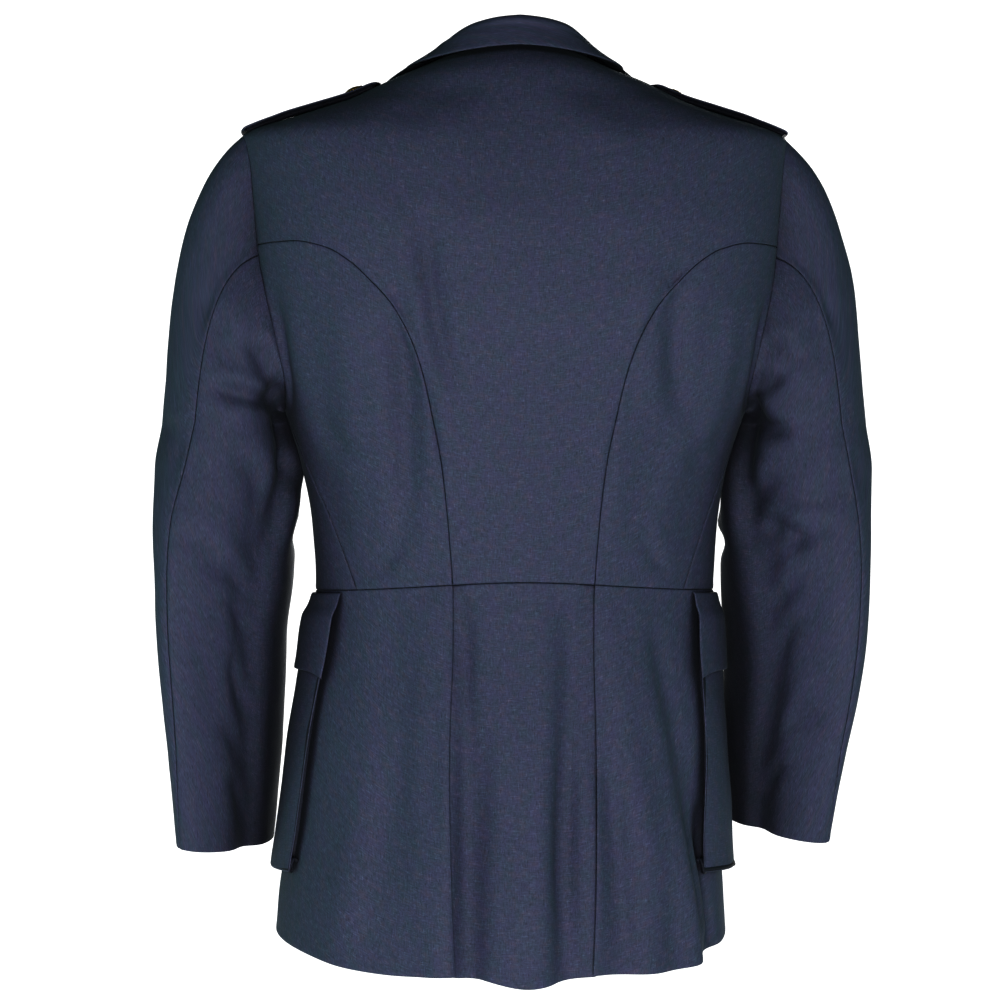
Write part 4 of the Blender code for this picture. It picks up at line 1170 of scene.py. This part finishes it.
# ================================================================= sleeves
def sleeve_points(side, column, cap_share, heights):
    """Outer points of a sleeve: columns round it, first down the cap and then down the arm.

    The first row is the seam allowance, tucked in under the body's edge.
    """
    hole = mirrored(armhole(column % COLUMNS), side)
    start = body(hole[:, 0], hole[:, 1])

    def round_turn(hind):
        """Turn round the sleeve of each column, 0 outwards and 90 to the back."""
        under = hind + (FORE_TURN - hind) * (column - HIND) / (FORE - HIND)
        over_step = (column - FORE) % COLUMNS
        over = FORE_TURN + (hind + 360 - FORE_TURN) * over_step / (COLUMNS - FORE + HIND)
        return np.where((column >= HIND) & (column <= FORE), under, over)

    def ring(height, tip):
        middle_x = SLEEVE.at("middle_left" if side > 0 else "middle_right", height)
        turn = np.radians(round_turn(SLEEVE.at("hind_turn", height)))
        wide = SLEEVE.at("wide", height)
        deep = SLEEVE.at("deep", height)
        radius = ((np.abs(np.cos(turn)) / wide) ** SLEEVE_SQUARE
                  + (np.abs(np.sin(turn)) / deep) ** SLEEVE_SQUARE) ** (-1 / SLEEVE_SQUARE)
        raised, inner_raised = CUFF_HANG[side]
        low = height + tip * (raised - CUFF_TIP_BACK * np.sin(turn) - inner_raised * np.cos(turn))
        out = radius * np.cos(turn)
        back = (SLEEVE.at("middle_y", height) + radius * np.sin(turn)
                + SLEEVE.at("skew", height) * out)
        return np.stack([side * (middle_x + out), back, low], axis=-1)

    first = ring(SLEEVE_ROWS[0][0], 0.0)
    share = column / COLUMNS * 2 * np.pi
    upper = (1 + np.cos(share)) / 2
    leave = unit(np.stack([side * (CAP_OUT_TOP + (CAP_OUT_UNDER - CAP_OUT_TOP) * (1 - upper)),
                           CAP_SPREAD * np.sin(share),
                           CAP_RISE_UNDER - CAP_FALL_TOP * upper], axis=-1))
    gap = np.linalg.norm(first - start, axis=1)
    pull_start = np.clip(gap * CAP_PULL_SHARE, *CAP_PULL_START)[:, None] * leave
    arrive = np.array([side * ARM_LEAN, 0.0, -1.0]) * np.clip(gap, *CAP_PULL_END)[:, None]
    rows = [start - CAP_TUCK[0] * leave - CAP_TUCK[1] * body_normal(hole[:, 0], hole[:, 1])]
    rows += [hermite(t, start, pull_start, first, arrive) for t in cap_share]
    rows += [ring(height, ease(height, CUFF_TIP_FROM, SLEEVE_ROWS[-1][0])) for height in heights]
    return np.stack(rows, axis=1)


def arm_spot(points, side):
    """Place on a sleeve for its creases: distance round the arm and height."""
    height = points[..., 2]
    level = np.clip(height, SLEEVE_ROWS[-1][0], SLEEVE_ROWS[0][0])
    middle_x = SLEEVE.at("middle_left" if side > 0 else "middle_right", level)
    turn = np.degrees(np.arctan2(points[..., 1] - SLEEVE.at("middle_y", level),
                                 side * points[..., 0] - middle_x)) % 360
    return paired(turn * ARM_MM_PER_DEGREE, height)


def sleeve(side, end):
    top_height, cuff_height = SLEEVE_ROWS[0][0], SLEEVE_ROWS[-1][0]
    step = grid_step()
    cap = laid_out(CAP_LENGTH, step, last=(0.0,))
    down = laid_out(ARM_LENGTH, step, first=(0.0,))[1:]
    heights = top_height + (cuff_height - top_height) * down
    creases = LEFT_ARM_CREASES if side > 0 else RIGHT_ARM_CREASES

    def to_spot(turn, height):
        return np.array([turn * ARM_MM_PER_DEGREE, height])

    for kind, first, count, girth, seed in (
            ("under", HIND, FORE - HIND, UNDER_GIRTH, 15 + side),
            ("top", FORE, COLUMNS - FORE + HIND, TOP_GIRTH, 18 + side)):
        column = first + count * laid_out(girth, step)
        points = sleeve_points(side, np.where(column > COLUMNS, column - COLUMNS, column), cap,
                               heights)
        spot = arm_spot(points, side)
        turn = spot[..., 0] / ARM_MM_PER_DEGREE
        hollow = (ARM_HOLLOW * ease(turn, *HOLLOW_RISE) * (1 - ease(turn, *HOLLOW_FALL))
                  * ease(-spot[..., 1], *HOLLOW_DOWN))
        cloth_piece(f"sleeve_{kind}_{end}", points, flat_from_edges(points, seed * WEAVE_SHIFT),
                    ("seam", "seam", "seam", "fold"),
                    crease_height(spot, creases, to_spot) - hollow, seed, "hung",
                    ["back_centre", "front_" + end], inner=satin_lining_and_painted_shade(), axis_x=side * ARM_AXIS)


# ================================================================= collar
def through(rows, per_mm):
    """Rows of points joined by smooth curves, with extra rows laid in between them."""
    keys = np.concatenate([[0], np.cumsum(np.linalg.norm(np.diff(rows, axis=0), axis=-1).mean(1))])
    slope = np.diff(rows, axis=0) / np.diff(keys)[:, None, None]
    before, after = np.diff(keys)[:-1, None, None], np.diff(keys)[1:, None, None]
    tangent = np.concatenate([slope[:1],
                              (slope[:-1] * after + slope[1:] * before) / (before + after),
                              slope[-1:]])
    at = keys[-1] * laid_out(keys[-1], per_mm)
    i = np.clip(np.searchsorted(keys, at, side="right") - 1, 0, len(keys) - 2)
    step = np.diff(keys)[i][:, None, None]
    t = ((at - keys[i]) / np.diff(keys)[i])[:, None, None]
    return hermite(t, rows[i], step * tangent[i], rows[i + 1], step * tangent[i + 1])


def collar():
    turns = NECK_FRONT * middle_out(HALF_COLLAR, FINE_STEP)
    size = np.abs(turns)
    sign = np.sign(turns)
    seam = body(turns, 0.0)
    out = unit(seam * np.array([1, 1, 0]))
    up = np.array([0, 0, 1.0])
    lean = COLLAR.at("lean", size)[:, None]
    rise = COLLAR.at("rise", size)[:, None]
    leaf_turn = sign * COLLAR.at("leaf_turn", size)
    leaf_level = COLLAR.at("leaf_level", size)
    half = COLLAR_ROLL / 2
    drop = half * ROLL_ROUND
    rows = [seam - COLLAR_FOOT[0] * out - COLLAR_FOOT[1] * up,
            seam - STAND_IN * out + STAND_SHARE * (lean * out + (rise - drop) * up),
            seam + lean * out + (rise - drop) * up,
            seam + (lean + half) * out + rise * up]
    leaf_start = (lean + COLLAR_ROLL) * out + (rise - drop) * up
    end_share = ease(size, COLLAR_END, NECK_FRONT)
    for w in LEAF_SHARES:
        dip_turn, dip_level = notch_dip(w)
        turn = turns + (leaf_turn - turns) * w + sign * end_share * dip_turn
        level = leaf_level * w + end_share * dip_level
        lift = (CLOTH + LEAF_CLEAR + LEAF_HOVER * (1 - end_share[:, None])) * w
        rows.append(body(turn, level) + leaf_start * (1 - w) + body_normal(turn, level) * lift)
    points = through(np.stack(rows), FINEST_STEP).transpose(1, 0, 2)
    cloth_piece("collar", points, flat_from_edges(points), ("fold", "fold", "under", "fold"),
                np.zeros(points.shape[:2]), 21, "folded", ["back_centre"])


# ================================================================= straps, pockets, flaps
def strap(side, end):
    offsets = 2 * laid_out(2 * STRAP_HALF_WIDTH, FINEST_STEP)[:, None] - 1
    outer, inner = STRAP_LEVELS
    levels = outer + (inner - outer) * laid_out(STRAP_LENGTH, FINE_STEP)
    reach = levels - STRAP_POINT * offsets ** 2 * ease(levels, STRAP_POINT_FROM, inner)[None]
    turn = 90 + np.degrees(offsets * STRAP_HALF_WIDTH / body(90, reach)[..., 0])
    dip, dip_start, dip_end = STRAP_DIP
    lift = STRAP.at("lift", reach) + STRAP_CLOTH - dip * ease(reach, dip_start, dip_end)
    # The strap's long edges and rim take the dark lining as painted shade of its raised edge.
    body_piece("strap_" + end, mirrored(paired(turn, reach), side), lift,
               ("fold", "fold", "seam", "fold"), 23 + side, held="laid",
               rests_on=["back_centre", "front_" + end], thick=STRAP_PADDED,
               inner=satin_lining_and_painted_shade(), bound=STRAP_PAINTED_SHADE_ROWS)


def pocket_edges(side, level, widen=0.0):
    """Turns of the pocket's back and front edges at a level."""
    back_top, back_low, front_top, front_low = POCKET_SIDES[side]
    share = (level - POCKET_TOP) / (POCKET_BOTTOM - POCKET_TOP)
    return (back_top + (back_low - back_top) * share - widen,
            front_top + (front_low - front_top) * share + widen)


def pocket(side, end):
    """The bag's face with a gusset round three sides that folds in under it."""
    inset, raised = np.array(GUSSET).T
    face = laid_out(POCKET_WIDTH, grid_step(), first=(2.0,), last=(2.0,))
    face_down = laid_out(POCKET_LENGTH, grid_step(), first=(0.0,), last=(2.0,))
    height = POCKET_TOP - POCKET_BOTTOM
    radius = float(BODY.at("left", POCKET_BOTTOM))
    level = np.concatenate([POCKET_TOP - height * face_down, (POCKET_BOTTOM + inset)[::-1]])
    level_lift = np.concatenate([np.full(len(face_down), POCKET_DEPTH), raised[::-1]])
    back, ahead = pocket_edges(side, level)
    share = np.concatenate([np.zeros(len(inset)), face, np.ones(len(inset))])
    inset_turn = np.degrees(np.concatenate([inset, np.zeros(len(face)), -inset[::-1]]) / radius)
    across_lift = np.concatenate([raised, np.full(len(face), POCKET_DEPTH), raised[::-1]])
    turn = back + (ahead - back) * share[:, None] + inset_turn[:, None]
    lift = np.minimum(across_lift[:, None], level_lift[None])
    slack = POCKET_SLACK * np.sin(np.pi * share)[:, None] ** SLACK_ROUND
    slack = slack * ease(-level, *SLACK_DOWN)[None] * (lift > SLACK_ABOVE)
    normal = body_normal(side * turn, level)
    points = body(side * turn, level) + normal * (lift + slack)[..., None]
    # The gusset's folds and rim take the dark lining as painted shade in the recess beside the
    # bag.
    cloth_piece("pocket_" + end, points, flat_from_edges(points), ("under",) * 4,
                np.zeros(points.shape[:2]), 26 + side, "laid", ["skirt_" + end],
                thick=POCKET_CLOTH, inner=satin_lining_and_painted_shade(), bound=len(GUSSET) - 2)


def flap(side, end):
    levels = FLAP_TOP + (FLAP_BOTTOM - FLAP_TOP) * laid_out(FLAP_DROP, FINE_STEP)
    columns = laid_out(FLAP_WIDTH, FINE_STEP)[:, None]
    back, ahead = pocket_edges(side, levels, FLAP_PAST_POCKET)
    fall = FLAP_CORNER * (2 * columns - 1) ** 6 * ease(-levels, -POCKET_TOP, -FLAP_BOTTOM)[None]
    grid = mirrored(paired(back + (ahead - back) * columns, levels - fall), side)
    body_piece("flap_" + end, grid, FLAP.at("lift", levels) + CLOTH,
               ("fold", "fold", "seam", "fold"), 29 + side, held="laid",
               rests_on=["pocket_" + end, "skirt_" + end])


# ================================================================= buttons
def button(node, point, normal, size):
    """A stamped shell: a dome, a shallow channel round it and a rolled rim."""
    diameter, tall = size
    outline = [(share * diameter / 2 * MM, height * tall * MM) for share, height in BUTTON_OUTLINE]
    bpy.ops.object.select_all(action="DESELECT")
    bpy.ops.mesh.primitive_uv_sphere_add(segments=48, ring_count=2 * len(outline), radius=1)
    piece = bpy.context.object
    piece.name = "brass_" + node
    mesh = piece.data
    last = 2 * len(outline)
    for vert in mesh.vertices:
        ring = round(math.acos(max(-1, min(1, vert.co.z))) / math.pi * last)
        height = outline[0][1]
        if 0 < ring < last:
            spread, height = outline[min(ring, last - ring) - 1]
            out = math.hypot(vert.co.x, vert.co.y)
            vert.co.x, vert.co.y = vert.co.x / out * spread, vert.co.y / out * spread
        vert.co.z = height if ring <= len(outline) else 0.0
    turn = Vector((0, 0, 1)).rotation_difference(Vector(normal)).to_matrix().to_4x4()
    mesh.transform(Matrix.Translation(Vector(point * MM)) @ turn)
    mesh.materials.append(gilt_brass())
    bpy.ops.object.mode_set(mode="EDIT")
    bpy.ops.mesh.select_all(action="SELECT")
    bpy.ops.mesh.normals_make_consistent(inside=False)
    bpy.ops.object.mode_set(mode="OBJECT")
    bpy.ops.object.shade_smooth_by_angle(angle=math.radians(SHARP_ANGLE))
    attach(piece, "root")
    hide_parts(node)


def front_buttons():
    for number, height in enumerate(BUTTON_HEIGHTS, start=1):
        level = place(0, height, False)[1]
        normal = body_normal(180, level)
        button(f"front_button_{number}", body(180, level) + normal * BUTTON_LIFT, normal,
               FRONT_BUTTON)


def buttonholes():
    """Worked in silk twist, each running out from under its button."""
    long, tall = [size / (2 + 2 * TWIST_RADIUS) for size in BUTTONHOLE]
    for number, height in enumerate(BUTTON_HEIGHTS, start=1):
        level = place(0, height, False)[1]
        bpy.ops.object.select_all(action="DESELECT")
        bpy.ops.mesh.primitive_torus_add(major_segments=48, minor_segments=10, major_radius=1.0,
                                         minor_radius=TWIST_RADIUS)
        piece = bpy.context.object
        piece.name = f"buttonhole_{number}"
        for vert in piece.data.vertices:
            across = BUTTONHOLE_MIDDLE + vert.co.x * long
            turn = math.degrees(math.atan2(across, -body(180, level)[1]))
            at = body(180 - turn, level + vert.co.y * tall)
            out = body_normal(180 - turn, level)
            vert.co = Vector((at + out * (TWIST_LIFT + vert.co.z * TWIST_RAISED)) * MM)
        piece.data.materials.append(silk_twist())
        bpy.ops.object.shade_smooth()
        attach(piece, "root")


def strap_buttons():
    for side, end in SIDES:
        normal = body_normal(side * 90, STRAP_BUTTON_LEVEL)
        lift = STRAP.at("lift", STRAP_BUTTON_LEVEL) + STRAP_CLOTH - STRAP_BUTTON_SUNK
        button("strap_button_" + end, body(side * 90, STRAP_BUTTON_LEVEL) + normal * lift, normal,
               STRAP_BUTTON)


# ================================================================= settings, operators, panel
class TunicSizes(bpy.types.PropertyGroup):
    cloth: bpy.props.FloatProperty(name="Cloth", description="Thickness of a sewn panel",
                                   default=0.002, unit="LENGTH")
    grid_step: bpy.props.FloatProperty(name="Grid step", description="Spacing of a panel's points",
                                       default=0.004, unit="LENGTH")
    crease_depth: bpy.props.FloatProperty(name="Crease depth",
                                          description="Multiplies the depth of every crease",
                                          default=2.0)
    thread_pitch: bpy.props.FloatProperty(
        name="Thread pitch", default=0.0016, unit="LENGTH",
        description="Spacing of threads, drawn coarser than the real 0.5 mm so that it shows")


class TunicColours(bpy.types.PropertyGroup):
    wool_blue: bpy.props.FloatVectorProperty(name="Wool, blue yarn", subtype="COLOR", size=3,
                                             description="Main colour of the cloth",
                                             default=linear("#36394e"))
    wool_slate: bpy.props.FloatVectorProperty(name="Wool, slate yarn", subtype="COLOR", size=3,
                                              description="Cooler colour mixed into the cloth",
                                              default=linear("#2f3b47"))
    wool_plum: bpy.props.FloatVectorProperty(name="Wool, plum yarn", subtype="COLOR", size=3,
                                             description="Warmer colour mixed into the cloth",
                                             default=linear("#433d4b"))
    brass: bpy.props.FloatVectorProperty(name="Brass", subtype="COLOR", size=3,
                                         description="Colour of the buttons",
                                         default=linear("#c9a45a"))


class TUNIC_OT_upper_body(bpy.types.Operator):
    """Back, side backs, fronts and lapels"""
    bl_idname = "tunic.upper_body"
    bl_label = "Upper body"

    def execute(self, context):
        back_centre()
        for side, end in SIDES:
            side_back(side, end)
            front(side, end)
            lapel(side, end)
        return {"FINISHED"}


class TUNIC_OT_skirt(bpy.types.Operator):
    """Centre back skirt and the two side skirts"""
    bl_idname = "tunic.skirt"
    bl_label = "Skirt"

    def execute(self, context):
        skirt_back()
        for side, end in SIDES:
            skirt_side(side, end)
        return {"FINISHED"}


class TUNIC_OT_sleeves(bpy.types.Operator):
    """Both two-piece sleeves"""
    bl_idname = "tunic.sleeves"
    bl_label = "Sleeves"

    def execute(self, context):
        for side, end in SIDES:
            sleeve(side, end)
        return {"FINISHED"}


class TUNIC_OT_collar(bpy.types.Operator):
    """The collar, with its stand and its turned-down leaf"""
    bl_idname = "tunic.collar"
    bl_label = "Collar"

    def execute(self, context):
        collar()
        return {"FINISHED"}


class TUNIC_OT_straps(bpy.types.Operator):
    """The two shoulder straps"""
    bl_idname = "tunic.straps"
    bl_label = "Shoulder straps"

    def execute(self, context):
        for side, end in SIDES:
            strap(side, end)
        return {"FINISHED"}


class TUNIC_OT_pockets(bpy.types.Operator):
    """The bellows hip pockets and their flaps"""
    bl_idname = "tunic.pockets"
    bl_label = "Hip pockets"

    def execute(self, context):
        for side, end in SIDES:
            pocket(side, end)
            flap(side, end)
        return {"FINISHED"}


class TUNIC_OT_buttons(bpy.types.Operator):
    """Four front buttons and a smaller one on each strap"""
    bl_idname = "tunic.buttons"
    bl_label = "Buttons"

    def execute(self, context):
        front_buttons()
        buttonholes()
        strap_buttons()
        return {"FINISHED"}


def area_light(name, at, aim, size, power, colour):
    data = bpy.data.lights.new(name, "AREA")
    data.shape = "RECTANGLE"
    data.size, data.size_y = size
    data.energy = power
    data.color = colour
    light = bpy.data.objects.new(name, data)
    bpy.context.scene.collection.objects.link(light)
    light.location = at
    light.rotation_euler = (Vector(aim) - Vector(at)).to_track_quat("-Z", "Y").to_euler()


CAMERA_TARGET = (0.0126, 0.0, -0.368)
CAMERA_DISTANCE = 2.9
CAMERA_TURN = 176.0
CAMERA_LENS = 124.27
VIEW_GAMMA = 0.72
FLOOR_RADIUS, FLOOR_LEVEL = 9, -1.5
SKY_LIGHT, BACKDROP = 0.06, 1.3        # strength of the world as light, and as it is seen
SKY_TINT = (0.80, 1.0, 0.98, 1)
LIGHTS = (             # name, place, aim, size, watts and colour
    ("key", (0.12, 2.2, -0.72), (0, 0, -0.5), (0.9, 1.3), 88, (1.0, 0.965, 0.99)),
    ("left", (2.3, 0.25, -0.5), (0, 0, -0.4), (0.6, 1.3), 19, (0.40, 1.0, 0.66)),
    ("right", (-2.3, 0.25, -0.5), (0, 0, -0.4), (0.6, 1.3), 12, (0.40, 1.0, 0.66)),
    ("front", (-0.5, -2.6, 0.1), (0, 0, -0.4), (1.4, 1.4), 85, (1, 1, 1)),
)


class TUNIC_OT_stage(bpy.types.Operator):
    """Pale floor, soft studio light and the camera"""
    bl_idname = "tunic.stage"
    bl_label = "Stage"

    def execute(self, context):
        scene = context.scene
        turn = math.radians(CAMERA_TURN)
        back = Vector((math.sin(turn), -math.cos(turn), 0))
        camera = bpy.data.objects.new("camera", bpy.data.cameras.new("camera"))
        scene.collection.objects.link(camera)
        camera.data.lens = CAMERA_LENS
        camera.data.sensor_width = 36
        camera.location = Vector(CAMERA_TARGET) + back * CAMERA_DISTANCE
        camera.rotation_euler = (-back).to_track_quat("-Z", "Y").to_euler()
        scene.camera = camera
        scene.view_settings.view_transform = "Standard"
        scene.view_settings.gamma = VIEW_GAMMA

        bpy.ops.object.select_all(action="DESELECT")
        bpy.ops.mesh.primitive_circle_add(vertices=96, radius=FLOOR_RADIUS, fill_type="NGON",
                                          location=(0, 0, FLOOR_LEVEL))
        floor = context.object
        floor.name = "floor"
        floor.visible_diffuse = False
        floor.data.materials.append(new_material("matt white floor paint, lit", {
            "Base Color": (*linear("#f4f4f4"), 1), "Roughness": 0.9, "Specular IOR Level": 0.1,
            "Emission Color": (1, 1, 1, 1), "Emission Strength": BACKDROP})[0])

        world = bpy.data.worlds.new("studio")
        scene.world = world
        world.use_nodes = True
        sky = world.node_tree
        background = sky.nodes["Background"]
        seen = node_in(sky, "ShaderNodeLightPath").outputs["Is Camera Ray"]
        strength = node_in(sky, "ShaderNodeMapRange", {"clamp": True},
                           dict(zip(RANGE, (0.0, 1.0, SKY_LIGHT, BACKDROP))), {"Value": seen})
        tint = node_in(sky, "ShaderNodeMix", {"data_type": "RGBA"},
                       {6: SKY_TINT, 7: (1, 1, 1, 1)}, {0: seen})
        sky.links.new(tint.outputs[2], background.inputs["Color"])
        sky.links.new(strength.outputs["Result"], background.inputs["Strength"])
        for light in LIGHTS:
            area_light(*light)
        return {"FINISHED"}


class TUNIC_PT_panel(bpy.types.Panel):
    bl_label = "Dress tunic"
    bl_idname = "TUNIC_PT_panel"
    bl_space_type = "VIEW_3D"
    bl_region_type = "UI"
    bl_category = "Tunic"

    def draw(self, context):
        for group in (context.scene.tunic_sizes, context.scene.tunic_colours):
            for name in group.bl_rna.properties.keys():
                if name not in ("rna_type", "name"):
                    self.layout.prop(group, name)
        for operator in OPERATORS:
            self.layout.operator(operator.bl_idname)


OPERATORS = (TUNIC_OT_upper_body, TUNIC_OT_skirt, TUNIC_OT_sleeves, TUNIC_OT_collar,
             TUNIC_OT_straps, TUNIC_OT_pockets, TUNIC_OT_buttons, TUNIC_OT_stage)
CLASSES = (TunicSizes, TunicColours, *OPERATORS, TUNIC_PT_panel)


def register():
    for kind in CLASSES:
        bpy.utils.register_class(kind)
    bpy.types.Scene.tunic_sizes = bpy.props.PointerProperty(type=TunicSizes)
    bpy.types.Scene.tunic_colours = bpy.props.PointerProperty(type=TunicColours)


def unregister():
    del bpy.types.Scene.tunic_sizes
    del bpy.types.Scene.tunic_colours
    for kind in reversed(CLASSES):
        bpy.utils.unregister_class(kind)


def main():
    register()
    bpy.ops.tunic.upper_body()
    bpy.ops.tunic.skirt()
    bpy.ops.tunic.sleeves()
    bpy.ops.tunic.collar()
    bpy.ops.tunic.straps()
    bpy.ops.tunic.pockets()
    bpy.ops.tunic.buttons()
    bpy.ops.tunic.stage()


if __name__ == "__main__":
    main()
